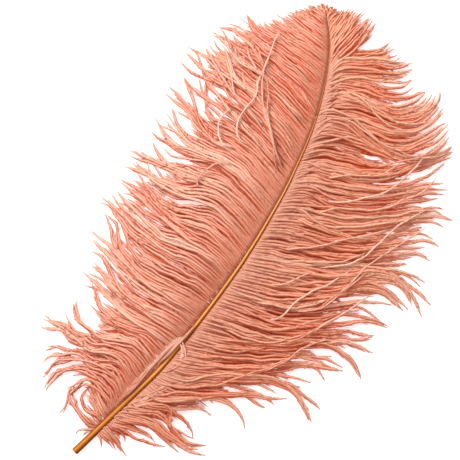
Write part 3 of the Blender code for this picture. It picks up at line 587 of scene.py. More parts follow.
# Locks that lie across the vane's own run, inside the outline.
ACROSS = {
    "left": [
        ([(13.3, 276.8), (-0.2, 281.8), (-13.7, 286.8), (-24.4, 291.6), (-35, 296.3), (-45.1, 301.5),
         (-53.6, 305.6)], 1, 0.6, 1),
        ([(-8.4, 325.4), (-14.8, 327.3), (-20.8, 328.4), (-26, 328.2), (-32.1, 327.9), (-38.1, 329), (-43.6,
         330.9), (-48.9, 334.1), (-55.7, 336.6), (-64.2, 339)], 2, 0.5, 1.3),
        ([(-4.1, 308.2), (-11.3, 311.3), (-17.3, 312.5), (-23.9, 313.2), (-30.3, 315), (-35.3, 318.5), (-40,
         322.1), (-44.8, 326.6), (-49.8, 330.9), (-55.6, 334.9)], 2, 0.5, 1.3),
        ([(-17.1, 301), (-24.2, 304.1), (-30, 308.1), (-33.7, 313.1), (-38.1, 317.8), (-42.1, 321), (-45.8,
         325.2), (-49.5, 330.3)], 1, 0.5, 1.35),
        ([(0.7, 293), (-8.5, 296.8), (-16.3, 299.6), (-24.5, 303.1), (-31.3, 305.6), (-38, 308.9), (-44.5,
         312.5), (-50.6, 316.2), (-57.1, 321.5), (-63.3, 326.2)], 1, 0.5, 1.25),
        ([(-1.7, 284.5), (-13.1, 288.9), (-21.6, 291.3), (-27.9, 293.1), (-35, 296.3), (-41.1, 299.2),
         (-47.6, 302.8), (-52.6, 307.1)], 2, 0.4, 1.25),
        ([(-20.3, 295.6), (-27.5, 298.8), (-33.2, 302.7), (-38.7, 306.8), (-44.1, 310.9), (-49.2, 315.3),
         (-53.9, 319.8)], 1, 0.5, 1.3),
        ([(-12, 296.6), (-19.1, 299.8), (-25.9, 303.2), (-31.3, 307.3), (-36.4, 311.6), (-41.5, 315.9),
         (-47, 320.9)], 1, 0.5, 1.2),
        ([(-3.3, 297), (-12.2, 300.1), (-20.7, 302.5), (-27.1, 306.1), (-31.5, 310.8), (-35.9, 315.5)], 1,
         0.5, 1.2),
        ([(4.3, 305.7), (-4.1, 308.2), (-11.3, 311.3), (-17, 313.5), (-22.6, 315.7), (-27.3, 319.4), (-31,
         323.6), (-33.3, 327.7)], 2, 0.35, 1.4),
        ([(27.1, 313), (17.9, 315.1), (10.1, 317.9), (3.3, 320.4), (-2.4, 324.3), (-7.8, 328.4), (-12.2,
         332.3), (-15.5, 335.8)], 2, 0.4, 1.4),
        ([(12.5, 294.2), (6, 299.5), (0.9, 304.7), (-4.3, 310.8), (-9.1, 317), (-12.5, 323.2), (-14.8, 329),
         (-15.5, 334.9)], 2, 0.4, 1.4),
        ([(-11.4, 330.9), (-19.3, 335.4), (-25.1, 339.4), (-31.7, 343.3), (-38.5, 345.8), (-44.4, 346.9),
         (-51.6, 346.9), (-57.5, 346.3)], 2, 0.4, 1.3),
        ([(-14.3, 332.9), (-21.5, 337.8), (-27, 342.8), (-31.8, 348.1), (-35.9, 353.9)], 1, 0.5, 1.3),
        ([(-12.6, 326.6), (-19.4, 329.1), (-25.5, 332), (-30.5, 335.5), (-34.6, 340.3), (-36.8, 344.4)], 1,
         0.5, 1.3),
        ([(-13.9, 322.4), (-21.3, 324.5), (-28.1, 327.9), (-33.5, 332), (-37.6, 337.8), (-39.5, 342)], 1,
         0.5, 1.25),
        ([(-14.6, 339.8), (-21.1, 343.4), (-26.1, 347.7), (-30.5, 352.4), (-34.3, 357.5)], 2, 0.5, 1.2),
        ([(-14.2, 345.4), (-20.6, 349), (-25.7, 353.3), (-30.1, 358)], 1, 0.5, 1.2),
        ([(33.1, 271.8), (22.2, 281.7), (11.5, 292.8), (5.3, 299.2), (-2.8, 308.9)], 1, 0.5, 1.3),
        ([(39.7, 319.2), (28.6, 324.6), (20, 330.5), (12, 336.8), (3.8, 342), (-4.1, 346.6)], 2, 0.5, 1.1),
        ([(35.9, 287.6), (23.4, 294), (13, 299.8), (4.3, 305.7), (-2.6, 313.5)], 2, 0.5, 1.2),
        ([(24, 302.4), (13.7, 306.5), (5.5, 310), (-0.2, 313.9), (-6, 319.6)], 1, 0.5, 1.2),
    ],
    "right": [
        ([(41.3, 322.7), (52.6, 328.1), (62.7, 329.3), (72.9, 326.9), (84.2, 324.3), (96.5, 323.1), (110.4,
         323.7), (123.4, 329.2), (134.5, 338.1), (143.6, 347.5)], 5, 0.9, 1.25),
        ([(65.5, 327.3), (76.5, 323.6), (87.5, 319.9), (98.1, 316.9), (107.6, 315.9), (115.9, 317)], 2, 0.7,
         1.1),
        ([(46, 343.2), (58.4, 346.6), (72.3, 347.2), (86.7, 347.1), (100.2, 348.4), (111.1, 354.5), (118.8,
         363.2)], 3, 0.7, 1.15),
        ([(68, 287.6), (83.9, 291.1), (96.9, 296.6), (108.4, 304.8), (118.8, 315), (127.1, 325.8)], 3, 0.7,
         1.15),
        ([(65, 244.9), (83.4, 247.1), (101.8, 249.3), (118.3, 254.9), (132.9, 264), (145.4, 273.6)], 3, 0.6,
         1.15),
        ([(72.9, 224.3), (88.3, 231.9), (99.8, 243.3), (111.7, 253.9), (123.8, 264.3), (135.6, 275.2)], 2,
         0.6, 1.2),
        ([(57.4, 210.3), (74.7, 214.6), (91.2, 220.2), (106.2, 228.6), (118.9, 241), (128.2, 253.3)], 2,
         0.6, 1.1),
        ([(70.2, 174.6), (88.5, 180.3), (104.1, 190.7), (116.8, 203.2), (127, 216.9), (135.5, 230.5)], 3,
         0.6, 1.15),
        ([(62, 154), (79.7, 157.5), (97.2, 164.6), (111.3, 177.8), (122.8, 192.3), (131.7, 205.2)], 3, 0.6,
         1.15),
        ([(61.1, 142.8), (81.3, 145), (99, 154.9), (112.3, 169.5), (122.2, 183.9), (131, 196.8)], 2, 0.6,
         1.1),
        ([(54.6, 125.7), (72.4, 132.1), (87.7, 143.2), (99.6, 157), (109.8, 170.8), (119.1, 183)], 3, 0.6,
         1.15),
    ],
}

# Pale loose barbs that lie over the others.
LOOSE = {
    "left": [
        ([(0.8, 275.2), (-5.8, 274.2), (-10.1, 278), (-13.2, 284.4), (-14.2, 291), (-13.5, 299.4), (-10.9,
         307.5), (-11.3, 311.3), (-14, 317), (-16.1, 324.7), (-16.4, 333.5), (-16.8, 342.2), (-18.7, 353.6),
         (-20.4, 364.7)], 1),
        ([(-5.2, 268.3), (-12.7, 265.9), (-18.8, 268.8), (-23.8, 274), (-26.7, 280.5), (-26.6, 286.7),
         (-25.2, 291.5), (-22.9, 294.6)], 1),
        ([(-17.3, 225.9), (-18.5, 230.5), (-18.8, 236.6), (-17, 243), (-13.9, 248.7), (-9.2, 253.1), (-1.8,
         255.9)], 0.85),
        ([(31.6, 272.7), (24, 280.1), (16.3, 287.4), (6, 299.5), (-3.5, 308.5), (-9.5, 317.7), (-14, 325.9),
         (-16.4, 333.5)], 0.8),
        ([(30.4, 268.5), (20.8, 281), (11.2, 293.5), (1.5, 306), (-3.5, 316.6), (-10.5, 326)], 0.75),
    ],
    "right": [
        ([(79.8, 266.5), (91.3, 274.7), (99.9, 281.7), (108.6, 290.1), (115.5, 298.5), (119.9, 306.7),
         (121.9, 315.8), (124.3, 324.3), (126.7, 332.8), (130.1, 342.7)], 1),
        ([(77.1, 255.2), (87.7, 268.2), (97.2, 270.4), (110.9, 277.9), (120.8, 285.8), (128.1, 295.2),
         (133.4, 301.7), (138.3, 308.9), (141.5, 316), (143.1, 325.9)], 0.85),
        ([(70.3, 283.5), (84.5, 293.2), (98.3, 300.5), (104.5, 307), (109, 314.9), (113.1, 322.1)], 0.95),
        ([(100.3, 219.9), (107.7, 225.8), (116.2, 231.4), (122.1, 240.1), (125.5, 250), (128.4, 259.2),
         (131.5, 269.8), (135.8, 278), (141.3, 287.4), (144.9, 293.8), (149, 300.1)], 1),
        ([(100.7, 180.8), (107.7, 187.4), (116.5, 194.1), (121, 210), (124.6, 222.7), (127.7, 233.3),
         (132.5, 245.4), (139.5, 258.7), (147.6, 273), (152.4, 281.9), (154.8, 287.3)], 0.95),
        ([(84.6, 164.7), (89.2, 170.9), (91.9, 180.4), (94.2, 187.5), (96.7, 194.3), (100, 199.6), (106.2,
         206.2), (112.1, 214.8), (116.8, 225.5), (121, 234.1), (124.5, 240.5)], 1),
        ([(69.6, 188.5), (77.8, 193.1), (82.4, 199.2), (87, 205.4), (94, 212)], 0.95),
        ([(67.2, 218.4), (76.4, 224.4), (86.3, 232.2), (94.9, 239.2), (102.2, 245.5), (110.6, 252.8),
         (120.3, 261)], 0.95),
        ([(111.4, 190.4), (117.8, 204.6), (122.9, 214.6), (127.7, 225.3), (132.4, 236)], 0.8),
        ([(85.1, 216.8), (96.7, 223.2), (108.6, 230.8), (117.8, 239.9), (122.9, 246.8)], 0.9),
        ([(116.2, 168.9), (122.2, 182.1), (129.1, 194), (134.2, 204), (138.4, 212.5), (142.9, 220.4)], 1),
        ([(99.5, 150.7), (109.8, 164.5), (119, 176.7), (126.5, 188.9), (133.6, 201.8), (137.8, 210.4)],
         0.9),
        ([(97.5, 125.5), (106.8, 137.8), (112.8, 151), (120, 162.1), (130.6, 175.2)], 0.8),
        ([(73.4, 101.4), (84.4, 113.8), (91.7, 123.2), (100.7, 132.6), (108.3, 141.4), (113.9, 150.7)],
         0.85),
        ([(58.1, 329.4), (68.3, 328.8), (77.7, 327.9), (89.3, 326.3), (101.5, 326.8), (115.1, 328.1),
         (126.9, 332.5), (136.5, 340.9)], 0.95),
        ([(53.4, 349.1), (62.9, 348.1), (72.4, 345.4), (82.3, 342), (93.2, 341.8), (104.2, 344.4)], 0.8),
        ([(101.9, 310.1), (109.2, 319.5), (118, 326.1), (125.9, 335.9), (131.1, 345.9), (134.5, 355.9)],
         0.7),
    ],
}

# Barbs that start on the shaft near the quill and lie along it or over it (root first).
LONGSIDE = {
    "left": [
        ([(14.6, 49.9), (13.3, 55.4), (14.4, 63.2), (16, 73), (18, 83.9), (20.3, 94.2), (23.4, 104.8), (27,
         114.4), (30.9, 123.3)], 4, 1.1, 0.9),
        ([(13, 46.4), (12, 52.9), (13.1, 60.7), (14.8, 68.8), (16.5, 78.6), (17.8, 89.2), (20.1, 99.4), (24,
         110), (29, 120.4)], 4, 1.2, 0.8),
        ([(16.7, 59.1), (14.9, 67), (15.9, 76.5), (16.9, 86), (18.5, 95.8), (21.7, 106.1), (26, 116.1)], 3,
         1.2, 0.85),
        ([(27.6, 87.5), (26.3, 94.8), (27.2, 104.2), (29.3, 113.4), (32, 123), (34.3, 134.9)], 2, 0.9,
         0.85),
    ],
    "right": [
        ([(20, 54.7), (26.1, 59.8), (31.3, 66.4), (36.2, 75.3), (39.3, 87.3), (40.4, 98.2), (37.5, 108.2),
         (33.1, 113.8), (27.9, 117.1)], 5, 1.2, 0.95),
        ([(24.4, 74.1), (34.4, 75.2), (36.9, 83.7), (37.9, 91.5), (38.9, 100.9), (36.5, 108.5), (31,
         114.4)], 3, 1.1, 0.9),
        ([(20.8, 67.6), (33.5, 73.8), (39.3, 84.2), (45.5, 93.9), (52.8, 103.3), (59, 113), (65.9, 121.3),
         (73.8, 129.7), (81.5, 139.8)], 3, 0.9, 0.8),
        ([(20, 62.7), (29.5, 68), (38.1, 79.9), (45.2, 92.8), (51.2, 106), (54.5, 119.4), (58.7, 131.1),
         (64.8, 142.6)], 4, 1.1, 0.8),
        ([(27.6, 87.5), (36.7, 95.2), (41.4, 107.7), (46.4, 116.3), (52.6, 122.8), (58.3, 131.8), (63.5,
         140.1)], 2, 1, 0.75),
    ],
}

M = 40  # points along each flow line
SHARE = np.linspace(0.0, 1.0, M)
GUIDE = {}
GUIDE_S = {}
GUIDE_LEN = {}
for side_name, lines in FLOW.items():
    GUIDE[side_name] = np.array([even(g, M) for g in lines])
    roots = GUIDE[side_name][:, 0]
    s_of = []
    for r in roots:
        s_of.append(CENTRE_ARC[np.argmin(np.linalg.norm(CENTRE[:, :2] - r, axis=1))])
    s_of = np.maximum.accumulate(np.array(s_of) + np.arange(len(s_of)) * 1e-3)
    GUIDE_S[side_name] = s_of
    GUIDE_LEN[side_name] = np.array([arc(g)[-1] for g in GUIDE[side_name]])


def flow(side, s):
    """The flow line that starts at length s on the shaft (M points)."""
    g, gs = GUIDE[side], GUIDE_S[side]
    s = float(np.clip(s, gs[0], gs[-1]))
    i = int(np.clip(np.searchsorted(gs, s) - 1, 0, len(gs) - 2))
    w = (s - gs[i]) / (gs[i + 1] - gs[i])
    w = w * w * (3 - 2 * w) * 0.35 + w * 0.65
    return g[i] * (1 - w) + g[i + 1] * w


GRID = {}
for side_name in FLOW:
    gs = GUIDE_S[side_name]
    s_grid = np.linspace(gs[0], gs[-1], 420)
    GRID[side_name] = (s_grid, np.array([flow(side_name, s) for s in s_grid]))


def place_on_flow(side, point):
    """Which root and how far along its line this point lies."""
    s_grid, pts = GRID[side]
    d = np.linalg.norm(pts[:, :36] - np.asarray(point), axis=2)
    i, j = np.unravel_index(np.argmin(d), d.shape)
    return s_grid[i], SHARE[j]


# ------------------------------------------------------------------ how high they lie
CROWN = 10.0
HUMP_T = np.array([0.0, 0.08, 0.2, 0.38, 0.58, 0.78, 0.92, 1.0])
HUMP_Z = np.array([0.80, 0.92, 1.0, 0.86, 0.60, 0.36, 0.20, 0.12])


def hump(s, t):
    swell = np.sin(np.pi * (0.08 + 0.86 * np.clip(s / SHAFT_LENGTH, 0, 1))) ** 0.6
    return CROWN * swell * np.interp(t, HUMP_T, HUMP_Z)


def relief(side, s, t):
    """The slow rise and fall of the vane across its barbs, from -1 to 1."""
    turn = 1.3 if side == "left" else 0.4
    return (0.60 * np.sin(s * 0.36 + turn + 1.5 * np.sin(s * 0.083 + turn) - 2.2 * t)
            + 0.40 * np.sin(s * 0.61 + 2.0 * turn + 1.2 * t))


# three broad places: painted shade in the hollows by the quill and beside the shaft near the tip, and a paler patch at
# the right edge
SHADE_AND_PALE_SPOTS = np.array([
    (8, 82, 30, -0.25),
    (6, 326, 28, -0.25),
    (140, 271, 39, 0.15),
])
# openings between the tips, where nothing lies: x, y, radius
GAPS = [
    (50, 367, 3.1), (59, 366, 3.1), (79, 372, 5.5), (90, 363, 4.7), (128, 339, 2.3), (136, 319, 3.1), (91,
     312, 2.3), (-34, 229, 3.9), (-44, 225, 1.6), (-42, 117, 3.1), (-51, 166, 3.1), (-57, 152, 2.3), (44,
     56, 3.9), (49, 61, 2.3), (120, 145, 5.5), (121, 156, 3.9), (81, 103, 2.3), (95, 108, 2.3), (134, 193,
     3.1), (-44, 283, 3.9), (-33, 284, 4.7), (49, 41, 7), (100, 369, 7), (44, 390, 6.2), (76, 370, 4.7),
     (-20, 43, 3.9), (-37, 92, 3.9), (-37, 238, 4.7), (37, 36, 5.5), (114, 120, 4.7), (55, 60, 3.9), (80,
     88, 3.9), (71, 81, 3.9), (-43, 297, 3.9), (-34, 283, 4.7), (129, 161, 3.1), (-55, 344, 3.9), (9, 16,
     3.9), (-43, 280, 3.1), (141, 203, 3.1), (-45, 265, 3.1), (59, 68, 3.1),
]


def dye(xy):
    """How much paler (+) or deeper (-) the colour is at points in plan; the deeper places are painted shade."""
    gap2 = (xy[:, None, 0] - SHADE_AND_PALE_SPOTS[:, 0]) ** 2 + (xy[:, None, 1] - SHADE_AND_PALE_SPOTS[:, 1]) ** 2
    return (SHADE_AND_PALE_SPOTS[:, 3] * np.exp(-gap2 / SHADE_AND_PALE_SPOTS[:, 2] ** 2)).sum(1)


class Barb:
    """One barb: its root on the shaft, its line in plan, how high it lies and how it is dressed."""

    def __init__(self, side, s, plan, level, tone, width=1.0, dense=1.0, lift=None, kind="lock", rise=0.0):
        self.side, self.s, self.plan = side, s, plan
        self.level, self.tone, self.width, self.dense = level, tone, width, dense
        self.lift, self.kind, self.rise = lift, kind, rise


rng = np.random.default_rng(SEED)
barbs = []
waiting = {"left": [], "right": []}   # (root, how to build the barb from its root)
PITCH = {"left": 3.1, "right": 2.9}   # spacing of the ridges that the barbs form beside the shaft


def rooted(side, s, plan):
    """The same line, started on the shaft's flank instead of its centre."""
    c, d, right = shaft_at(s)
    r = float(shaft_radius(c[0, 1]))
    hand = 1.0 if side == "right" else -1.0
    start = c[0, :2] + right[0, :2] * hand * r * 0.83
    away = arc(plan)
    return plan + (start - plan[0]) * (1 - smoothstep(away, 0.0, 16.0))[:, None]


def sideways(plan):
    d = np.gradient(plan, axis=0)
    d /= np.maximum(np.linalg.norm(d, axis=1), 1e-9)[:, None]
    return np.stack([d[:, 1], -d[:, 0]], 1)


def ridge(side, s):
    """The middle of the ridge that a barb rooted at s belongs to."""
    p = PITCH[side]
    return (math.floor(s / p) + 0.5) * p


def combed(side, s, plan, keep=0.65):
    """Draws the first stretch of the barb on to its ridge."""
    here = flow(side, s)
    there = flow(side, ridge(side, s) + (s - ridge(side, s)) * keep)
    a_here = arc(here)
    away = arc(plan)
    shift = np.stack([np.interp(away, a_here, (there - here)[:, k]) for k in (0, 1)], 1)
    return plan + shift * (1 - smoothstep(away, 10.0, 60.0))[:, None]


def waved(line, amount=1.0):
    """A slow waviness that neighbouring barbs share."""
    x, y = line[:, 0], line[:, 1]
    grow = smoothstep(arc(line), 4.0, 30.0) * amount
    dx = 0.20 * np.sin(y * 0.31 + 0.9 * np.sin(x * 0.11)) + 0.15 * np.sin(y * 0.13 - x * 0.37 + 1.7)
    dy = 0.30 * np.sin(x * 0.33 + 1.1 * np.sin(y * 0.09)) + 0.20 * np.sin(x * 0.17 + y * 0.29 + 0.6)
    own = arc(line)
    swing = 0.55 * np.sin(own * rng.uniform(0.10, 0.22) + rng.uniform(0, 6.28)) + 0.22 * np.sin(own * rng.uniform(0.3, 0.5) + rng.uniform(0, 6.28))
    return line + (np.column_stack([dx, dy]) + sideways(line) * swing[:, None]) * grow[:, None]


def ruffled(side, s, amount):
    """The first barbs on the left are softer and wander more."""
    return amount * (1.0 + (1.3 * (1.0 - float(smoothstep(s, 70.0, 110.0))) if side == "left" else 0.0))


def eased(line, rounds=3):
    line = line.copy()
    for _ in range(rounds):
        line[1:-1] = 0.25 * line[:-2] + 0.5 * line[1:-1] + 0.25 * line[2:]
    return line


def shade(side, s):
    """How much deeper the dye is towards the ends of the feather."""
    if side == "left":
        return -0.30 * float(smoothstep(s, 290.0, 345.0))
    return -0.12 * float(1.0 - smoothstep(s, 150.0, 190.0))


def lock(side, path, count, half, level, tone=None, spread=2.4, stagger=8.0, thin=1.0, join=0.4,
         loose=False, rise=0.0):
    """The barbs of one lock: along the flow, drawn together, then along the lock's own run."""
    path = np.asarray(path, float)
    s0, t0 = place_on_flow(side, path[0])
    t0 = max(t0, 0.06)
    if tone is None:
        tone = rng.choice([0.22, 0.38, 0.54, 0.72], p=[0.22, 0.30, 0.28, 0.20])
    outer = even(path, 36)
    length = arc(outer)[-1]
    side_dir = sideways(outer)


    def grow(s, k):
        off = k - 0.5 * (count - 1)
        base = flow(side, s)
        n_in = max(int(t0 * (M - 1)), 3)
        u = np.linspace(0, 1, n_in + 1)
        inner = np.stack([np.interp(u * t0, SHARE, base[:, a]) for a in (0, 1)], 1)
        pull = smoothstep(u, join if t0 > 0.3 else 0.1, 1.0)[:, None]
        v = np.linspace(0, 1, len(outer))
        lane = off * (1.6 + 0.7 * half) * (1 - 0.86 * v ** 0.9)
        sway = rng.normal(0, 0.45) * np.sin(np.pi * rng.uniform(0.9, 1.7) * v)
        own = outer + side_dir * (lane + sway * (1 - v))[:, None]
        inner = inner + (own[0] - inner[-1]) * pull
        plan = np.vstack([inner[:-1], own])
        main = k == int(0.5 * (count - 1) + 0.25)
        cut_back = 0.0 if main else rng.uniform(1.5, stagger)
        plan = rooted(side, s, combed(side, s, plan))
        a = arc(plan)
        line = waved(eased(at(plan, np.linspace(0, a[-1] - cut_back, 48), a)), ruffled(side, s, 0.8))
        lift = arc(plan[:len(inner)])[-1] if loose or rise else None
        jump = rng.normal(0, 0.06)
        # painted light: a barb lying higher than its lock (jump) or on a rise of the relief gets a paler tone, a lower
        # one a deeper tone
        barbs.append(Barb(side, s, line, 0.74 + 0.30 * level + jump,
                          1.0 if loose and tone > 0.97 else
                          float(np.clip(tone + shade(side, s) + 1.6 * jump + 0.2 * relief(side, s, 0.5)
                                        + rng.normal(0, 0.07), 0, 0.93)),
                          width=thin * rng.uniform(0.88, 1.1), lift=lift,
                          kind="loose" if loose else "lock", rise=rise))

    for k in range(count):
        s = s0 + (k - 0.5 * (count - 1)) * spread + rng.normal(0, 0.4)
        if loose:
            grow(s, k)
        else:
            waiting[side].append((s, lambda s, k=k: grow(s, k)))


def filler(side, s, t_end, level, tone, lane, wander, phase, width=1.0, dense=0.8):
    if level is None:
        height = float(np.clip(0.5 + 0.32 * math.sin(s * 0.45 + 1.3 * math.sin(s * 0.13)) + 0.22 * math.sin(s * 0.19 + 2.0)
                               + rng.normal(0, 0.16), 0, 1))
        level = 0.64 + 0.34 * height
        # painted light: the higher a filler lies, the paler its tone, and paler still on the rises of the relief
        tone = float(np.clip(0.66 * height + shade(side, s) + 0.2 * relief(side, s, 0.5) + rng.normal(0, 0.06), 0, 0.9))
    if side == "left" and s < 62.0:
        t_end = t_end * 0.72
    base = flow(side, s)
    u = np.linspace(0, 1, M)
    sw = sideways(base)
    drift = wander * smoothstep(u, 0.15, 0.8) * np.sin(phase + u * 3.3) + lane * smoothstep(u, 0.1, 0.4)
    plan = rooted(side, s, combed(side, s, base + sw * drift[:, None]))
    a = arc(plan)
    if t_end > 1.0:
        way = (plan[-1] - plan[-3]) / np.linalg.norm(plan[-1] - plan[-3])
        plan = np.vstack([plan, plan[-1] + way * a[-1] * (t_end - 1.0)])
        a = arc(plan)
        t_end = 1.0
    end = a[-1] * t_end
    for gx, gy, gr in GAPS:
        hit = np.linalg.norm(plan - (gx, gy), axis=1) < gr + 0.8
        if hit.any() and a[np.argmax(hit)] > 0.4 * a[-1]:
            end = min(end, a[np.argmax(hit)] - rng.uniform(0.0, 3.0))
    line = waved(eased(at(plan, np.linspace(0, end, 44), a), 2), ruffled(side, s, 1.0))
    barbs.append(Barb(side, s, line, level, tone, width=width, dense=dense, kind="fill"))


for side_name in ("left", "right"):
    for path, count, half, level in LOCKS[side_name]:
        lock(side_name, path, count, half, level)
    for path, count, half, level in ACROSS[side_name]:
        lock(side_name, path, count, half, level + 0.25, tone=rng.uniform(0.58, 0.85), thin=0.88,
             rise=1.9 if side_name == "left" else 1.5)
    for path, tone in LOOSE[side_name]:
        lock(side_name, path, 1, 0.2, 1.0, tone=tone, thin=0.64, join=0.2, loose=True)
    for path, count, half, tone in LONGSIDE[side_name]:
        path = np.asarray(path, float)
        s0 = CENTRE_ARC[np.argmin(np.linalg.norm(CENTRE[:, :2] - path[0], axis=1))]
        line = even(path, 44)
        sw = sideways(line)
        for k in range(count):
            off = (k - 0.5 * (count - 1)) * half
            u = np.linspace(0, 1, 44)
            plan = line + sw * (off * smoothstep(u, 0, 0.3) * (1 - 0.6 * smoothstep(u, 0.6, 1)))[:, None]
            a = arc(plan)
            plan = at(plan, np.linspace(0, a[-1] - rng.uniform(0, 6), 44), a)
            barbs.append(Barb(side_name, s0 + off, rooted(side_name, s0 + off, plan), 1.0,
                              float(np.clip(tone + rng.normal(0, 0.05), 0, 1)), width=0.62, kind="over"))

n_locks = len(barbs)
FILL = {"left": 105, "right": 90}
for side_name in ("left", "right"):
    gs = GUIDE_S[side_name]
    lo, hi = gs[0] + 1.0, gs[-1] - 0.5
    n = FILL[side_name]
    for k in range(n):
        s = lo + (hi - lo) * (k + rng.uniform(0.1, 0.9)) / n
        waiting[side_name].append((s, lambda s, side=side_name: filler(
            side, s, rng.uniform(0.66, 0.96), None, None,
            rng.normal(0, 0.6), rng.normal(0, 1.4), rng.uniform(0, 6.28), width=rng.uniform(0.85, 1.08))))

# the fringe round the feather's tip
for side_name in ("left", "right"):
    gs = GUIDE_S[side_name]
    for k in range(30):
        s = gs[-1] - 0.5 - 78.0 * ((k + rng.uniform(0.1, 0.9)) / 30.0) ** 1.2
        waiting[side_name].append((s, lambda s, side=side_name: filler(
            side, s, rng.uniform(0.98, 1.10), rng.uniform(0.7, 0.95), float(rng.uniform(0.3, 0.75)),
            rng.normal(0, 0.6), rng.normal(0, 1.0), rng.uniform(0, 6.28), width=rng.uniform(0.6, 0.8))))

# the roots stand at even steps along the shaft: neighbours push each other apart
for side_name in ("left", "right"):
    queue = sorted(waiting[side_name], key=lambda q: q[0])
    s = np.array([q[0] for q in queue])
    for _ in range(30):
        s[1:-1] = 0.25 * s[:-2] + 0.5 * s[1:-1] + 0.25 * s[2:]
    for value, (_, build) in zip(s, queue):
        build(float(value))

# Fine down that shows between the tips: its run from under the locks to the edge, half its width
DOWN = {
    "left": [
        ([(-40.7, 312.8), (-52.5, 319.6), (-62.9, 325.5)], 3.9),
        ([(-34.3, 327.1), (-41.7, 335.5), (-48.6, 343.2)], 3.9),
        ([(-29.2, 338.8), (-35.8, 345.9), (-42.4, 352.9)], 4.7),
        ([(-24.6, 345), (-32.6, 351.3), (-40.6, 357.5)], 3.9),
        ([(-20.1, 352.9), (-28.7, 358.8), (-35.9, 363.7)], 3.9),
        ([(-15.6, 360.7), (-24.2, 366.6), (-31.7, 370.5)], 3.9),
        ([(-10.3, 367.3), (-18.2, 373.5), (-25.9, 377.7)], 3.9),
        ([(-4.2, 372.4), (-11.9, 379.8), (-19.1, 384.7)], 3.9),
        ([(1.1, 378.9), (-6.2, 385.6), (-12.5, 390.5)], 3.9),
        ([(5, 384.7), (-1.2, 391.1), (-6.6, 396)], 3.5),
        ([(6.9, 389.3), (2.8, 395.1), (-1.6, 400.6)], 2.7),
        ([(-16.6, 99.5), (-24.9, 98.4), (-34.7, 100.1)], 4.7),
        ([(-13.1, 83.6), (-21.4, 82.5), (-31.2, 84.2)], 4.7),
        ([(-26.6, 120.7), (-36.4, 122.4), (-45.7, 126.2)], 3.9),
        ([(5.9, 49.5), (-0.1, 44.4), (-9.2, 44.7)], 4.7),
        ([(-42.2, 196.8), (-50.9, 196.5), (-59.7, 197.8)], 3.9),
        ([(-37.4, 175.4), (-47.2, 177.1), (-56.5, 180.8)], 3.1),
        ([(-30.9, 266.5), (-40, 266.8), (-48.5, 269.2)], 3.9),
        ([(-30.8, 279.1), (-37.9, 282.2), (-45, 285.4)], 2.3),
        ([(-30.4, 223.9), (-37.4, 223.6), (-44.7, 222.2)], 2.3),
        ([(7.7, 39.8), (-2.5, 42.2), (-13.5, 45.9)], 6.2),
        ([(7.4, 46.8), (-4.5, 49.1), (-14.4, 50.7)], 3.9),
        ([(-32.2, 310.4), (-42.7, 311.7), (-55.7, 314.3)], 3.9),
        ([(2.9, 385.3), (-6, 388.4), (-15.8, 390.1)], 4.7),
        ([(4, 393), (-1, 395.6), (-7.4, 397.4)], 3.1),
        ([(-20.6, 97.2), (-28, 97.6), (-36.5, 100)], 4.7),
        ([(-47.1, 205.7), (-55.1, 205.7), (-65.3, 206.3)], 3.1),
        ([(-34.7, 209), (-42.4, 210.1), (-51.2, 211.5)], 3.1),
        ([(-45.6, 186.9), (-52.9, 187.3), (-62, 187.6)], 3.1),
        ([(-41.1, 150.1), (-48.5, 150.5), (-56.5, 150.5)], 3.1),
        ([(-29.2, 353.1), (-37.9, 352.8), (-45.9, 352.8)], 3.9),
        ([(6, 394.2), (0.3, 396.4), (-5.4, 398.5)], 3.1),
        ([(-42.6, 213.6), (-49.1, 212.6), (-56.8, 211.9)], 3.1),
        ([(-20.5, 93.8), (-26.4, 93.1), (-33.4, 92.8)], 3.1),
        ([(-0.8, 42.3), (-6.7, 43.4), (-13.7, 43.1)], 3.9),
        ([(-35.9, 220.9), (-40.1, 222.1), (-46.5, 223.9)], 2.3),
        ([(7.7, 39.8), (-3.9, 43.2), (-19.5, 48.8)], 5.5),
        ([(3.3, 44.5), (-5.8, 46.6), (-16.4, 47.8)], 3.9),
    ],
    "right": [
        ([(11.9, 386.7), (8.7, 395.7), (6, 402.2)], 2.7),
        ([(16.2, 385.5), (15, 395.6), (13.3, 403.6)], 3.5),
        ([(21.1, 384.7), (21.6, 396.6), (20.7, 406.3)], 3.9),
        ([(26.7, 384.3), (28.6, 396.9), (28.8, 407.7)], 3.9),
        ([(32.3, 383.8), (35.6, 395.5), (36.8, 407.7)], 3.9),
        ([(37.9, 383.4), (41.3, 393.3), (43.3, 404.2)], 3.1),
        ([(78.6, 332.8), (94, 330.7), (110.4, 323.7)], 4.7),
        ([(83.9, 307.2), (96, 309.5), (105.5, 316.5)], 3.9),
        ([(128.1, 285.4), (142.2, 292.3), (157.2, 300.6)], 3.9),
        ([(126.6, 272.1), (140.4, 276.2), (150.6, 283.6)], 3.9),
        ([(127.9, 260.2), (141.3, 265), (152.2, 271.1)], 3.9),
        ([(127.7, 247.7), (140.1, 251), (149.3, 257)], 3.9),
        ([(119.4, 294.8), (133.7, 301), (144.5, 310.6)], 3.1),
        ([(41.7, 62.3), (51.5, 60.6), (60, 58.2)], 4.7),
        ([(58.3, 80.5), (67.4, 80.2), (75.1, 79.1)], 3.9),
        ([(78.7, 107.9), (87.8, 107.6), (96.2, 108.7)], 3.1),
        ([(99.2, 135.4), (110.2, 137.9), (119.2, 141.1)], 3.1),
        ([(118.1, 165.5), (128.4, 169.5), (136.6, 174)], 3.1),
        ([(127.9, 196), (136.1, 200.5), (143.5, 206.5)], 3.9),
        ([(130.5, 217.1), (140.8, 221), (149, 225.6)], 3.9),
        ([(135.1, 271.4), (144.1, 279.1), (155, 286.9)], 3.1),
        ([(53.4, 381.2), (56.5, 388.4), (60, 396.6)], 2.3),
        ([(16.5, 392.9), (18, 399.9), (19.4, 407)], 2.3),
        ([(7.5, 393.2), (8.6, 399.2), (8.4, 404.4)], 3.1),
        ([(59.6, 382.9), (61.8, 388.6), (65, 394)], 2.3),
    ],
}
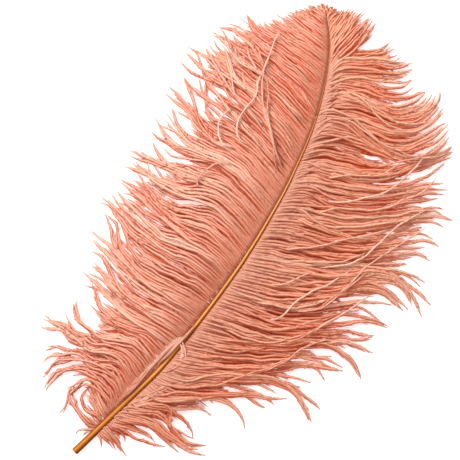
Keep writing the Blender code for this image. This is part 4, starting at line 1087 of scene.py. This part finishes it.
for side_name in ("left", "right"):
    for path, half in DOWN[side_name]:
        line = even(path, 22)
        sw = sideways(line)
        s0 = place_on_flow(side_name, path[0])[0]
        n = max(int(half * 2 / 0.62), 4)
        for k in range(n):
            off = half * (2 * (k + rng.uniform(0.2, 0.8)) / n - 1)
            u = np.linspace(0, 1, 22)
            bend = rng.normal(0, 0.8) * u ** 2
            plan = line + sw * (off * (0.75 + 0.35 * u) + bend)[:, None]
            a = arc(plan)
            plan = at(plan, np.linspace(0, a[-1] * (1 - 0.28 * rng.random() - 0.15 * abs(off) / half), 22), a)
            barbs.append(Barb(side_name, s0 + 0.01 * off, plan, rng.uniform(0.2, 1.0), float(rng.uniform(0.42, 0.72)),
                              width=rng.uniform(0.22, 0.34), dense=1.3, kind="down"))

# under them, close-set plain barbs, given deep tones as painted shade for the lowest layer
for side_name in ("left", "right"):
    gs = GUIDE_S[side_name]
    lo, hi = gs[0] + 1.0, gs[-1] - 0.5
    for k in range(110):
        s = lo + (hi - lo) * (k + 0.5) / 110
        filler(side_name, s, rng.uniform(0.66, 0.88), rng.uniform(0.12, 0.40) if k % 4 == 0 else rng.uniform(0.56, 0.70),
               float(rng.uniform(0.10, 0.36)), 0.0, rng.normal(0, 0.8), rng.uniform(0, 6.28), width=1.25, dense=0.0)


# Between the ribs the down hangs together as a thin veil: broad flat barbs under the locks, given deep tones as painted
# shade for the gaps between the locks.
for side_name in ("left", "right"):
    gs = GUIDE_S[side_name]
    for n, level, near, far, wide, tone in ((60, 0.45, 0.70, 0.82, 3.2, 0.36), (50, 0.25, 0.62, 0.76, 3.6, 0.42)):
        lo, hi = gs[0] + 2.0, gs[-1] - 1.0
        for k in range(n):
            s = lo + (hi - lo) * (k + 0.5) / n
            plan = rooted(side_name, s, flow(side_name, s))
            a = arc(plan)
            reach = a[-1] * rng.uniform(near, far) * (0.7 if side_name == "left" and s < 62.0 else 1.0)
            for gx, gy, gr in GAPS:
                hit = np.linalg.norm(plan - (gx, gy), axis=1) < gr + 2.0
                if hit.any():
                    reach = min(reach, max(a[np.argmax(hit)] - 1.0, 20.0))
            line = eased(at(plan, np.linspace(0, reach, 36), a), 2)
            barbs.append(Barb(side_name, s, line, level + rng.uniform(-0.05, 0.05),
                              float(np.clip(tone + rng.uniform(-0.1, 0.1), 0, 1)), width=wide, kind="veil"))


# ------------------------------------------------------------------ a barb in three dimensions
def line3d(b):
    """The barb's centre line with its heights, in millimetres."""
    plan = b.plan
    n = len(plan)
    t = np.linspace(0, 1, n)
    length = arc(plan)
    c, d, right = shaft_at(b.s)
    r = float(shaft_radius(c[0, 1]))
    z_root = c[0, 2] + 0.52 * r
    top = hump(b.s, t)
    low = 1.2
    lv = b.level
    if b.rise or b.kind == "loose":
        # it comes up from among its neighbours only where it leaves them
        lv = lv * (0.5 + 0.5 * smoothstep(length, b.lift - 9.0, b.lift + 5.0))
    z = low + np.maximum(top - low, 0.25) * lv
    if b.kind in ("lock", "fill") and b.level > 0.5:
        z = z + 1.3 * relief(b.side, b.s, t) * smoothstep(t, 0.04, 0.25) * (1 - 0.8 * smoothstep(t, 0.65, 0.95))
    if b.kind == "loose":
        up = smoothstep(length, b.lift - 6.0, b.lift + 8.0)
        far = np.clip(np.linalg.norm(plan - plan[0], axis=1) / 140.0, 0, 1)
        z = z + (hump(b.s, far) + 4.0 - z) * up
    if b.rise:
        z = z + b.rise * smoothstep(length, b.lift - 4.0, b.lift + 12.0) * (1 - 0.75 * smoothstep(t, 0.80, 1.0))
    if b.kind == "down":
        z = 0.9 + 1.5 * b.level * (1 - 0.7 * t)
        return np.column_stack([plan, z])
    near = smoothstep(length, 0.0, 13.0)
    z = z_root + (z - z_root) * near
    if b.kind == "over":
        # high enough to lie on the shaft and its neighbours
        over = []
        for p in plan:
            k = int(np.argmin(np.linalg.norm(CENTRE[:, :2] - p, axis=1)))
            gap = np.linalg.norm(CENTRE[k, :2] - p)
            rs = float(shaft_radius(CENTRE[k, 1]))
            over.append(CENTRE[k, 2] + (rs + 1.0) * (1.0 if gap < rs + 0.6 else
                                                     0.35 + 0.65 * math.exp(-(gap - rs - 0.6) / 5.0)))
        over = eased(np.array(over)[:, None], 4)[:, 0]
        z = z_root + (np.maximum(z, over) - z_root) * smoothstep(length, 0.0, 10.0)
    wob = 0.30 * np.sin(length * 0.11 + b.s * 3.1) * near
    return np.column_stack([plan, np.maximum(z + wob, 0.75)])


def frames(line):
    d = np.gradient(line, axis=0)
    d /= np.linalg.norm(d, axis=1)[:, None]
    s = np.cross(d, np.array([0.0, 0.0, 1.0]))
    s /= np.maximum(np.linalg.norm(s, axis=1), 1e-6)[:, None]
    u = np.cross(s, d)
    return d, s, u


TONES = 16
BODY_SIDES = 8
SEAM = -1.571


def brush_radius(a, length, width, tip):
    """Half width of the down on the barb at length a along it."""
    body = 1.3 - 0.20 * smoothstep(a / length, 0.15, 0.8)
    start = 0.42 + 0.58 * smoothstep(a, 0.0, 5.0)
    end = np.clip((length - a) / tip, 0.0, 1.0) ** 0.6
    return body * start * (0.10 + 0.90 * end) * width


def tube(line, half, high, tone, sides, steps, first, share, pale=False, early=0.0):
    """A closed tube of oval section along the line; first and share pick the part of the tone's
    column that goes round it."""
    a = arc(line)
    d, s, u = frames(line)
    w = np.linspace(0, a[-1], steps + 1)
    p, ss, uu = (np.stack([np.interp(w, a, q[:, k]) for k in range(3)], 1) for q in (line, s, u))
    rx, rz = half(w), high(w)
    if pale:
        cells = np.full(steps, TONES - 1)
    else:
        # dye() adds the painted shade of the hollows and the paler patch
        here = np.clip(tone + dye(0.5 * (p[:-1, :2] + p[1:, :2])), 0, 0.93)
        cells = np.minimum((here * TONES).astype(int), TONES - 2)
    row = sides + 1
    v = np.empty((steps + 1, row, 3))
    uv = np.empty((steps + 1, row, 2))
    for j in range(row):
        th = 2 * np.pi * j / sides + SEAM
        v[:, j] = p + ss * (math.cos(th) * rx)[:, None] + uu * (math.sin(th) * rz)[:, None]
        uv[:, j, 0] = 0.03 + 0.94 * (first + share * j / sides)
        uv[:, j, 1] = 0.51 + 0.48 * (early + (1.0 - early) * w / a[-1])
    v, uv = v.reshape(-1, 3), uv.reshape(-1, 2)
    i, j = np.meshgrid(np.arange(steps), np.arange(sides), indexing="ij")
    x0 = (i * row + j).ravel()
    tri = np.concatenate([np.stack([x0, x0 + 1, x0 + 1 + row], 1), np.stack([x0, x0 + 1 + row, x0 + row], 1)])
    ends = [(0, j + 1, j) for j in range(1, sides - 1)]
    e = steps * row
    ends += [(e, e + j, e + j + 1) for j in range(1, sides - 1)]
    tri = np.vstack([tri, np.array(ends)])
    column = cells[np.concatenate([i.ravel(), i.ravel(), np.zeros(sides - 2, int), np.full(sides - 2, steps - 1)])]
    # the seam's two columns are one line of points, so the tube is closed
    weld = np.arange(len(v)).reshape(steps + 1, row)
    weld[:, -1] = weld[:, 0]
    loop_uv = uv[tri.ravel()]
    loop_uv[:, 0] = (loop_uv[:, 0] + np.repeat(column, 3)) / TONES
    tri = weld.ravel()[tri]
    used = np.unique(tri)
    remap = np.full(len(v), -1)
    remap[used] = np.arange(len(used))
    return v[used], remap[tri], loop_uv


def veil(b):
    """A broad flat barb whose down has spread."""
    line = line3d(b)
    length = arc(line)[-1]

    def half(w):
        soft = 1 + 0.10 * np.sin(w * 0.37 + b.s) + 0.08 * np.sin(w * 0.91 + 2 * b.s)
        return b.width * soft * (0.3 + 0.7 * smoothstep(w, 0, 14)) * (0.08 + 0.92 * np.clip((length - w) / 34.0, 0, 1) ** 0.8)

    # the veil is coloured from the flank of the painted light round a barb, clear of its highlight
    return tube(line, half, lambda w: np.full(len(w), 0.28), b.tone, 6, 32, 0.20 if b.side == "left" else 0.70, 0.10)


def dress(b, per_mm):
    """Vertices, triangles and UVs of one barb."""
    if b.kind == "veil":
        return veil(b)
    line = line3d(b)
    a = arc(line)
    length = a[-1]
    d, s, u = frames(line)
    seed = np.random.default_rng(int(abs(b.s) * 1000) + int(length * 77) + int(b.tone * 1000))
    bulge = seed.uniform(0, 6.28, 3)
    twist = seed.choice([-1.0, 1.0]) * seed.uniform(0.10, 0.22)   # radians a millimetre

    def spot(where):
        w = np.clip(where, 0, length)
        p = np.stack([np.interp(w, a, line[:, k]) for k in range(3)], 1)
        dd = np.stack([np.interp(w, a, d[:, k]) for k in range(3)], 1)
        ss = np.stack([np.interp(w, a, s[:, k]) for k in range(3)], 1)
        uu = np.stack([np.interp(w, a, u[:, k]) for k in range(3)], 1)
        return p + dd * np.clip(where - length, 0, 2.0)[:, None], dd, ss, uu

    tip = 12.0 if b.kind != "down" else 5.0

    def radius(where):
        lump = 1 + 0.07 * np.sin(where * 0.23 + bulge[0]) + 0.05 * np.sin(where * 0.61 + bulge[1])
        return brush_radius(np.clip(where, 0, length), length, b.width, tip) * lump

    # ---- barbules: slim four-faced slivers that leave the barb and lie forward along it
    n = int(max(length * per_mm * b.dense, 4))
    q = (np.arange(n) + seed.random(n)) / n
    base = 0.4 + (length - 2.6) * q
    reach = (6.4 - 1.8 * smoothstep(q, 0.5, 1.0)) * seed.uniform(0.75, 1.3, n)
    reach = np.maximum(np.minimum(reach, length - base), 1.0)
    ang = (np.arange(n) * 2.39996 + seed.normal(0, 0.4, n)) % (2 * np.pi)
    below = np.sin(ang) < -0.30
    ang = np.where(below & (seed.random(n) < 0.75), -ang, ang)
    turn = twist * reach
    wide = 0.09 * seed.uniform(0.8, 1.3, n)

    def ring(where, angle, part):
        p, dd, ss, uu = spot(where)
        rad = radius(where) * part
        out = ss * np.cos(angle)[:, None] + uu * (0.85 * np.sin(angle))[:, None]
        cross = np.cross(dd, out)
        cross /= np.maximum(np.linalg.norm(cross, axis=1), 1e-6)[:, None]
        return p + out * rad[:, None], cross

    free = np.where(seed.random(n) < 0.10 + 0.22 * (q > 0.55), seed.uniform(1.2, 1.9 + 0.9 * (q > 0.55), n), 1.0)
    pa, ca = ring(base, ang, seed.uniform(0.55, 0.80, n))
    pm, cm = ring(base + 0.5 * reach, ang + 0.5 * turn, seed.uniform(0.96, 1.10, n) * (0.5 + 0.5 * free))
    pb, cb = ring(base + reach, ang + turn, seed.uniform(0.92, 1.14, n) * free)
    v = np.empty((n, 4, 3))
    v[:, 0] = pa
    v[:, 1] = pm + cm * wide[:, None]
    v[:, 2] = pm - cm * wide[:, None]
    v[:, 3] = pb
    v = v.reshape(-1, 3)
    k = np.arange(n)[:, None] * 4
    tri = np.concatenate([k + [0, 1, 2], k + [1, 3, 2], k + [0, 3, 1], k + [0, 2, 3]], 1).reshape(-1, 3)
    pale = b.tone > 0.97
    # painted light: barbules on the upper side of the barb get paler tones and those underneath deeper ones; dye() adds
    # the painted shade of the hollows
    tone = np.clip(b.tone + dye(pa[:, :2]) + seed.normal(0, 0.06, n) + 0.22 * np.sin(ang), 0.95 if pale else 0.0,
                   0.999 if pale else 0.93)
    cell = np.floor(tone * TONES)
    fine = b.kind == "down"
    vpos = (0.36 if fine else 0.01) + (0.11 if fine else 0.46) * base / length
    uv = np.empty((n, 4, 2))
    for j, (f, dv) in enumerate(((0.06, 0.0), (0.42, 0.008), (0.58, 0.010), (0.94, 0.018))):
        uv[:, j, 0] = (cell + f) / TONES
        uv[:, j, 1] = vpos + dv
    uv = uv.reshape(-1, 2)

    # ---- the body: the rib with the down packed round it
    steps = int(np.clip(length / 3.2, 8 if b.kind == "down" else 12, 44))
    keep = np.linspace(0, length - 1.0, 48)
    body = np.stack([np.interp(keep, a, line[:, k]) for k in range(3)], 1)
    sides = BODY_SIDES if b.kind in ("lock", "loose", "over") else 6
    rv, rt, loop_uv = tube(body, lambda w: radius(w) * 0.94, lambda w: radius(w) * 0.84, b.tone, sides, steps,
                           0.0, 1.0, pale, 0.72 if fine else 0.0)
    return (np.vstack([v, rv]), np.vstack([tri, rt + len(v)]), np.vstack([uv[tri.ravel()], loop_uv]))


def solid(name, verts, tris, uvs, material, smooth=True):
    verts = (verts + ORIGIN) * MM
    me = bpy.data.meshes.new(name)
    me.vertices.add(len(verts))
    me.vertices.foreach_set("co", verts.astype(np.float32).ravel())
    me.loops.add(len(tris) * 3)
    me.loops.foreach_set("vertex_index", tris.astype(np.int32).ravel())
    me.polygons.add(len(tris))
    me.polygons.foreach_set("loop_start", np.arange(0, len(tris) * 3, 3, dtype=np.int32))
    me.polygons.foreach_set("loop_total", np.full(len(tris), 3, dtype=np.int32))
    me.polygons.foreach_set("use_smooth", np.full(len(tris), smooth, dtype=bool))
    layer = me.uv_layers.new(name="OFBake")
    layer.data.foreach_set("uv", uvs.astype(np.float32).ravel())
    me.update(calc_edges=True)
    me.validate()
    me.materials.append(material)
    ob = bpy.data.objects.new(name, me)
    bpy.context.scene.collection.objects.link(ob)
    return ob


# ------------------------------------------------------------------ materials
class Nodes:
    def __init__(self, name):
        self.mat = bpy.data.materials.new(name)
        self.mat.use_nodes = True
        self.tree = self.mat.node_tree
        self.tree.nodes.clear()
        self.out = self.tree.nodes.new("ShaderNodeOutputMaterial")
        self.bsdf = self.tree.nodes.new("ShaderNodeBsdfPrincipled")
        self.tree.links.new(self.bsdf.outputs[0], self.out.inputs[0])

    def add(self, kind, **settings):
        n = self.tree.nodes.new(kind)
        for k, v in settings.items():
            setattr(n, k, v)
        return n

    def link(self, a, b):
        self.tree.links.new(a, b)

    def math(self, op, a, b=None, c=None, clamp=False):
        n = self.add("ShaderNodeMath", operation=op, use_clamp=clamp)
        for i, x in enumerate((a, b, c)):
            if x is None:
                continue
            if isinstance(x, (int, float)):
                n.inputs[i].default_value = x
            else:
                self.link(x, n.inputs[i])
        return n.outputs[0]

    def ramp(self, fac, stops, mode="LINEAR"):
        n = self.add("ShaderNodeValToRGB")
        n.color_ramp.interpolation = mode
        el = n.color_ramp.elements
        while len(el) > len(stops):
            el.remove(el[-1])
        while len(el) < len(stops):
            el.new(1.0)
        for e, (pos, col) in zip(el, stops):
            e.position = pos
            e.color = (col[0], col[1], col[2], 1.0)
        self.link(fac, n.inputs[0])
        return n.outputs[0]

    def mix(self, fac, a, b, blend="MIX"):
        n = self.add("ShaderNodeMix", data_type="RGBA", blend_type=blend)
        for sock, x in ((n.inputs[0], fac), (n.inputs[6], a), (n.inputs[7], b)):
            if isinstance(x, (int, float)):
                sock.default_value = x
            elif isinstance(x, tuple):
                sock.default_value = (*x, 1.0)
            else:
                self.link(x, sock)
        return n.outputs[2]


def barb_material(name, ramp, highlight_angle, highlight_mix, highlight_colour, muted_colour, highlight_at_root, tip_mix, painted_glow):
    """Salmon dye, with painted light. The lower half of the UV square holds the barbules, the upper half the packed
    down of the bodies; across, it has one column for each tone, which carries both the strength of dye and painted
    light."""
    m = Nodes(name)
    uv = m.add("ShaderNodeUVMap", uv_map="OFBake")
    sep = m.add("ShaderNodeSeparateXYZ")
    m.link(uv.outputs[0], sep.inputs[0])
    u, v2 = sep.outputs[0], sep.outputs[1]
    body = m.math("GREATER_THAN", v2, 0.5)
    v = m.math("FRACT", m.math("MULTIPLY", v2, 2.0))
    scaled = m.math("MULTIPLY", u, float(TONES))
    cell = m.math("FLOOR", scaled)
    tone = m.math("DIVIDE", cell, float(TONES - 1), clamp=True)
    along = m.math("FRACT", scaled)
    base = m.ramp(tone, ramp)
    # the root is muted and the tip is bleached
    root = m.ramp(v, [(0.0, (0.88,) * 3), (0.12, (0.88 * 0.85,) * 3), (0.26, (0.88 * 0.45,) * 3), (0.46, (0.0, 0.0, 0.0)),
                      (0.66, (0.0, 0.0, 0.0)), (0.84, (0.5 * tip_mix,) * 3), (1.0, (tip_mix,) * 3)])
    muted = m.mix(m.math("GREATER_THAN", v, 0.5), muted_colour, (0.90, 0.58, 0.46))
    col = m.mix(root, base, muted)
    # painted shade: each barbule is darker at its root, deep inside the barb's down, and paler at its free end
    shade = m.ramp(along, [(0.0, (0.84, 0.84, 0.84)), (0.5, (0.99, 0.99, 0.99)), (1.0, (1.05, 1.05, 1.05))])
    hair = m.mix(1.0, col, shade, "MULTIPLY")
    # the packed down shows as fine slanting stripes round the body
    turn = m.math("ADD", m.math("MULTIPLY", along, 7.0), m.math("MULTIPLY", v, 26.0))
    vec = m.add("ShaderNodeCombineXYZ")
    m.link(m.math("MULTIPLY", u, 37.0), vec.inputs[0])
    m.link(m.math("MULTIPLY", v, 30.0), vec.inputs[1])
    noise = m.add("ShaderNodeTexNoise")
    noise.inputs["Scale"].default_value = 1.0
    noise.inputs["Detail"].default_value = 2.0
    m.link(vec.outputs[0], noise.inputs["Vector"])
    wave = m.math("SINE", m.math("MULTIPLY", m.math("ADD", turn, m.math("MULTIPLY", noise.outputs[0], 1.2)), 6.2832))
    stripe = m.math("ADD", m.math("MULTIPLY", wave, 0.5), 0.5)
    packed = m.mix(1.0, col, m.ramp(stripe, [(0.0, (0.86, 0.80, 0.77)), (0.6, (0.98, 0.97, 0.96)), (1.0, (1.03, 1.03, 1.03))]), "MULTIPLY")
    # painted light round each barb's packed down: deeper on the sides turned from the key light and where neighbours
    # shade it, paler towards the side that faces it, at the given angle round the barb
    round_it = m.math("ADD", m.math("MULTIPLY", m.math("SUBTRACT", along, 0.03), 6.2832 / 0.94), SEAM - highlight_angle)
    painted_light_round = m.math("ADD", m.math("MULTIPLY", m.math("COSINE", round_it), 0.5), 0.5)
    packed = m.mix(1.0, packed, m.ramp(painted_light_round, [(0.0, (0.88, 0.28, 0.16)), (0.5, (0.94, 0.48, 0.35)), (0.78, (0.97, 0.76, 0.65)), (0.92, (1.0, 1.0, 1.0)), (1.0, (1.0, 1.0, 1.0))]), "MULTIPLY")
    # painted highlight: a pale crest along the lit side of each barb, weaker towards its root
    painted_highlight = m.math("MULTIPLY", m.ramp(painted_light_round, [(0.86, (0.0, 0.0, 0.0)), (0.955, (0.6, 0.6, 0.6)), (1.0, (1.0, 1.0, 1.0))]),
                    m.ramp(v, [(0.0, (highlight_at_root * highlight_mix,) * 3), (0.3, (0.8 * highlight_mix,) * 3), (0.6, (highlight_mix,) * 3)]))
    packed = m.mix(painted_highlight, packed, highlight_colour)
    col = m.mix(body, hair, packed)
    streak = m.ramp(noise.outputs[0], [(0.3, (0.91, 0.88, 0.86)), (0.7, (1.04, 1.06, 1.07))])
    col = m.mix(1.0, col, streak, "MULTIPLY")
    m.link(col, m.bsdf.inputs["Base Color"])
    bump = m.add("ShaderNodeBump")
    bump.inputs["Strength"].default_value = 0.4
    bump.inputs["Distance"].default_value = 0.00016
    m.link(m.math("MULTIPLY", stripe, body), bump.inputs["Height"])
    m.link(bump.outputs[0], m.bsdf.inputs["Normal"])
    m.bsdf.inputs["Roughness"].default_value = 0.6
    m.bsdf.inputs["Specular IOR Level"].default_value = 0.2
    m.bsdf.inputs["Sheen Weight"].default_value = 0.03
    m.bsdf.inputs["Sheen Roughness"].default_value = 0.5
    # painted glow: a faint red-orange emission keeps the shade in the hollows between the barbs warm, standing in for
    # the light that thin dyed keratin lets through
    m.bsdf.inputs["Emission Color"].default_value = (*painted_glow, 1.0)
    m.bsdf.inputs["Emission Strength"].default_value = 0.05
    return m.mat


def shaft_material():
    m = Nodes("shaft_keratin_fine")
    uv = m.add("ShaderNodeUVMap", uv_map="OFBake")
    sep = m.add("ShaderNodeSeparateXYZ")
    m.link(uv.outputs[0], sep.inputs[0])
    u, v = sep.outputs[0], sep.outputs[1]
    # amber at the quill, honey along the middle, redder and duller towards the thin end
    base = m.ramp(v, [(0.0, (0.52, 0.15, 0.010)), (0.05, (0.66, 0.20, 0.012)), (0.35, (0.70, 0.21, 0.014)),
                      (0.62, (0.66, 0.18, 0.016)), (0.78, (0.58, 0.15, 0.024)), (1.0, (0.52, 0.14, 0.04))])
    # painted shade: darker down both flanks, deepest on the lower right side away from the key light, lighter along the
    # back
    flank = m.ramp(u, [(0.0, (0.20, 0.11, 0.08)), (0.14, (0.32, 0.18, 0.12)), (0.19, (0.62, 0.46, 0.36)), (0.245, (1.0, 1.0, 1.0)),
                       (0.325, (1.0, 1.0, 1.0)), (0.37, (0.74, 0.58, 0.46)), (0.41, (0.38, 0.22, 0.17)),
                       (0.50, (0.26, 0.15, 0.11)), (0.75, (0.8, 0.75, 0.7)), (1.0, (0.22, 0.13, 0.10))])
    base = m.mix(1.0, base, flank, "MULTIPLY")
    # painted highlight: a pale cream line along the back, just left of its middle, faint at the quill and gone towards
    # the thin end
    painted_highlight_line = m.ramp(u, [(0.262, (0.0, 0.0, 0.0)), (0.280, (0.8, 0.8, 0.8)), (0.296, (0.8, 0.8, 0.8)), (0.315, (0.0, 0.0, 0.0))])
    fades = m.ramp(v, [(0.0, (0.2, 0.2, 0.2)), (0.12, (0.3, 0.3, 0.3)), (0.3, (0.9, 0.9, 0.9)), (0.62, (0.9, 0.9, 0.9)), (0.80, (0.0, 0.0, 0.0))])
    base = m.mix(m.math("MULTIPLY", painted_highlight_line, fades), base, (1.0, 0.70, 0.34))
    vec = m.add("ShaderNodeCombineXYZ")
    m.link(m.math("MULTIPLY", u, 34.0), vec.inputs[0])
    m.link(m.math("MULTIPLY", v, 14.0), vec.inputs[1])
    noise = m.add("ShaderNodeTexNoise")
    noise.inputs["Scale"].default_value = 1.0
    noise.inputs["Detail"].default_value = 3.0
    m.link(vec.outputs[0], noise.inputs["Vector"])
    grain = m.ramp(noise.outputs[0], [(0.3, (0.84, 0.80, 0.76)), (0.7, (1.02, 1.02, 1.02))])
    col = m.mix(1.0, base, grain, "MULTIPLY")
    m.link(col, m.bsdf.inputs["Base Color"])
    rough = m.math("ADD", m.math("MULTIPLY", noise.outputs[0], 0.12), 0.20)
    m.link(rough, m.bsdf.inputs["Roughness"])
    m.bsdf.inputs["Specular IOR Level"].default_value = 0.14
    m.bsdf.inputs["Coat Weight"].default_value = 0.05
    m.bsdf.inputs["Coat Roughness"].default_value = 0.12
    return m.mat


# ------------------------------------------------------------------ the shaft, in detail
def make_shaft():
    """A tapered keratin tube: slightly flattened, faintly ribbed, cut square and hollow at the quill."""
    sides = 28
    n = 190
    s = np.concatenate([np.linspace(0, 12, 13), np.linspace(14, SHAFT_LENGTH, n)])
    c, d, right = shaft_at(s)
    up = np.cross(right, d)
    r = shaft_radius(c[:, 1])
    r = r * np.where(s < 0.8, 0.93 + 0.07 * np.sqrt(np.clip(s / 0.8, 0, 1)), 1.0)
    r = r * (1 + 0.010 * np.sin(s * 0.31) + 0.008 * np.sin(s * 0.83 + 1.0))
    rings, uvs = [], []
    th = np.linspace(0, 2 * np.pi, sides, endpoint=False)
    for i in range(len(s)):
        rib = 1 + 0.012 * np.cos(th * 7 + 0.6) * min(1.0, s[i] / 30.0)
        x = np.cos(th) * r[i] * rib
        y = np.sin(th) * r[i] * 0.94 * rib
        # a shallow groove along the underside, as a plume's shaft has
        y = y + 0.22 * r[i] * np.exp(-((th - 1.5 * np.pi) / 0.35) ** 2) * min(1.0, s[i] / 60.0)
        rings.append(c[i] + right[i] * x[:, None] + up[i] * y[:, None])
        uvs.append(np.column_stack([th / (2 * np.pi) * 0.96 + 0.01, np.full(sides, 0.04 + 0.95 * s[i] / SHAFT_LENGTH)]))
    v = np.vstack(rings)
    uv = np.vstack(uvs)
    tri = []
    for i in range(len(s) - 1):
        for j in range(sides):
            a, b = i * sides + j, i * sides + (j + 1) % sides
            tri += [(a, b, b + sides), (a, b + sides, a + sides)]
    # the hollow: rim, wall and floor of the cut end
    bore = [(0.0, 0.60), (0.5, 0.56), (4.0, 0.53), (8.6, 0.48), (9.0, 0.25)]
    last = None
    for depth, f in bore:
        cc, dd, rr = shaft_at(depth)
        uu = np.cross(rr[0], dd[0])
        rad = float(shaft_radius(0.0)) * f
        ring = cc[0] + rr[0] * (np.cos(th) * rad)[:, None] + uu * (np.sin(th) * rad)[:, None]
        start = len(v)
        v = np.vstack([v, ring])
        uv = np.vstack([uv, np.column_stack([th / (2 * np.pi) * 0.96 + 0.01, np.full(sides, 0.002 + 0.03 * (1 - depth / 9.0))])])
        prev = 0 if last is None else last
        for j in range(sides):
            a, b = prev + j, prev + (j + 1) % sides
            c0, d0 = start + j, start + (j + 1) % sides
            tri += [(a, c0, d0), (a, d0, b)]
        last = start
    # close the hollow's floor and the thin end
    for start, flip in ((last, False), ((len(s) - 1) * sides, False)):
        mid = v[start:start + sides].mean(0)
        k = len(v)
        v = np.vstack([v, mid])
        uv = np.vstack([uv, uv[start:start + sides].mean(0)])
        for j in range(sides):
            tri.append((start + j, start + (j + 1) % sides, k))
    tri = np.array(tri)
    return v, tri, uv


shaft_v, shaft_t, shaft_uv = make_shaft()
shaft = solid("shaft_fine", shaft_v, shaft_t, shaft_uv[shaft_t.ravel()], shaft_material())
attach(shaft, "root")
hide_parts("shaft")

# ------------------------------------------------------------------ the barbs, in pieces
PARTS = {"left": 3, "right": 3}
PER_MM = 1.0
# the left vane's colours are a paler copy, painted for the side that faces the key light, the right's deeper; each
# turns its painted highlight towards the upper left (68 and 112 degrees round the barb) and has the same painted red
# glow
MATERIALS = {"left": barb_material("barbs_dyed_left", [(0.0, (0.68, 0.13, 0.052)), (0.35, (0.73, 0.24, 0.135)), (0.65, (0.78, 0.36, 0.235)), (0.92, (0.86, 0.54, 0.41)), (1.0, (1.0, 0.74, 0.60))], math.radians(68), 0.68, (0.92, 0.63, 0.52),
                                  (0.60, 0.175, 0.088), 0.2, 0.38, (1.0, 0.18, 0.05)),
             "right": barb_material("barbs_dyed_right", [(0.0, (0.73, 0.105, 0.034)), (0.35, (0.79, 0.19, 0.080)), (0.65, (0.84, 0.29, 0.150)), (0.92, (0.91, 0.48, 0.32)), (1.0, (1.0, 0.76, 0.61))], math.radians(112), 0.62, (0.95, 0.57, 0.42),
                                   (0.58, 0.265, 0.185), 0.5, 0.85, (1.0, 0.18, 0.05))}
total = 0
for side_name in ("left", "right"):
    mine = sorted([b for b in barbs if b.side == side_name], key=lambda b: b.s)
    groups = [[] for _ in range(PARTS[side_name])]
    cost = np.cumsum([400 if b.kind == "veil" else 700 + arc(b.plan)[-1] * b.dense * 4 * PER_MM for b in mine])
    for b, c in zip(mine, cost):
        groups[min(int(c / cost[-1] * PARTS[side_name]), PARTS[side_name] - 1)].append(b)
    for g, members in enumerate(groups):
        vs, ts, us = [], [], []
        n = 0
        for b in members:
            v, t, uvm = dress(b, PER_MM)
            vs.append(v)
            ts.append(t + n)
            us.append(uvm)
            n += len(v)
        v, t, uvm = np.vstack(vs), np.vstack(ts), np.vstack(us)
        piece = solid(f"barbs_{side_name}_{g + 1}", v, t, uvm, MATERIALS[side_name])
        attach(piece, "root")
        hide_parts("vane_left" if side_name == "left" else "vane_right")
        total += len(t)
        print("piece", piece.name, len(members), "barbs", len(t), "triangles")
print("barbs", len(barbs), "in locks", n_locks, "triangles", total)

# ------------------------------------------------------------------ table, light and camera
floor_me = bpy.data.meshes.new("floor")
floor_me.from_pydata([(-2.5, -2.5, -0.0002), (2.5, -2.5, -0.0002), (2.5, 2.5, -0.0002), (-2.5, 2.5, -0.0002)], [], [(0, 1, 2, 3)])
floor = bpy.data.objects.new("floor", floor_me)
bpy.context.scene.collection.objects.link(floor)
fm = Nodes("floor_paper")
tc = fm.add("ShaderNodeTexCoord")
fn = fm.add("ShaderNodeTexNoise")
fn.inputs["Scale"].default_value = 900.0
fm.link(tc.outputs["Object"], fn.inputs["Vector"])
fm.link(fm.ramp(fn.outputs[0], [(0.3, (0.95, 0.95, 0.95)), (0.7, (0.97, 0.97, 0.97))]), fm.bsdf.inputs["Base Color"])
fm.bsdf.inputs["Roughness"].default_value = 0.9
fm.bsdf.inputs["Emission Color"].default_value = (1.0, 1.0, 1.0, 1.0)
fm.bsdf.inputs["Emission Strength"].default_value = 0.55
fm.bsdf.inputs["Specular IOR Level"].default_value = 0.1
floor_me.materials.append(fm.mat)

# The picture's up is the feather's own axis turned 29.1 degrees: the tip points up and right.
ROLL = math.radians(29.1)
RIGHT = Vector((math.cos(ROLL), math.sin(ROLL), 0.0))
UP = Vector((-math.sin(ROLL), math.cos(ROLL), 0.0))
aim = Vector(((ORIGIN[0] + 21.84) * MM, (ORIGIN[1] + 210.16) * MM, 0.004))
LENS = 120.0
FIELD = 0.3588
cam_data = bpy.data.cameras.new("camera")
cam_data.lens = LENS
cam_data.sensor_width = 36.0
cam_data.clip_end = 20.0
cam = bpy.data.objects.new("camera", cam_data)
cam.location = aim + Vector((0, 0, FIELD * LENS / 36.0))
cam.rotation_euler = (0.0, 0.0, ROLL)
bpy.context.scene.collection.objects.link(cam)
bpy.context.scene.camera = cam


def softbox(name, direction, distance, size, power, colour=(1, 1, 1)):
    data = bpy.data.lights.new(name, "AREA")
    data.shape = "DISK"
    data.size = size
    data.energy = power
    data.color = colour
    ob = bpy.data.objects.new(name, data)
    way = direction.normalized()
    ob.location = aim + way * distance
    ob.rotation_mode = "QUATERNION"
    ob.rotation_quaternion = way.to_track_quat("Z", "Y")
    bpy.context.scene.collection.objects.link(ob)
    return ob


softbox("key", (UP * 0.85 - RIGHT * 0.75 + Vector((0, 0, 0.95))), 1.3, 0.9, 20.0, (1.0, 0.99, 0.975))
softbox("top", Vector((0, 0, 1.0)) + RIGHT * 0.25, 1.5, 1.2, 2)
world = bpy.data.worlds.new("studio")
bpy.context.scene.world = world
world.use_nodes = True
bg = world.node_tree.nodes["Background"]
bg.inputs[0].default_value = (1.0, 1.0, 1.0, 1.0)
seen = world.node_tree.nodes.new("ShaderNodeLightPath")
strength = world.node_tree.nodes.new("ShaderNodeMapRange")
strength.inputs["To Min"].default_value = 0.4
strength.inputs["To Max"].default_value = 1.0
world.node_tree.links.new(seen.outputs["Is Camera Ray"], strength.inputs["Value"])
world.node_tree.links.new(strength.outputs[0], bg.inputs[1])
scene = bpy.context.scene
scene.view_settings.view_transform = "Standard"
scene.view_settings.look = "None"
scene.view_settings.exposure = 0.0
scene.view_settings.gamma = 1.0
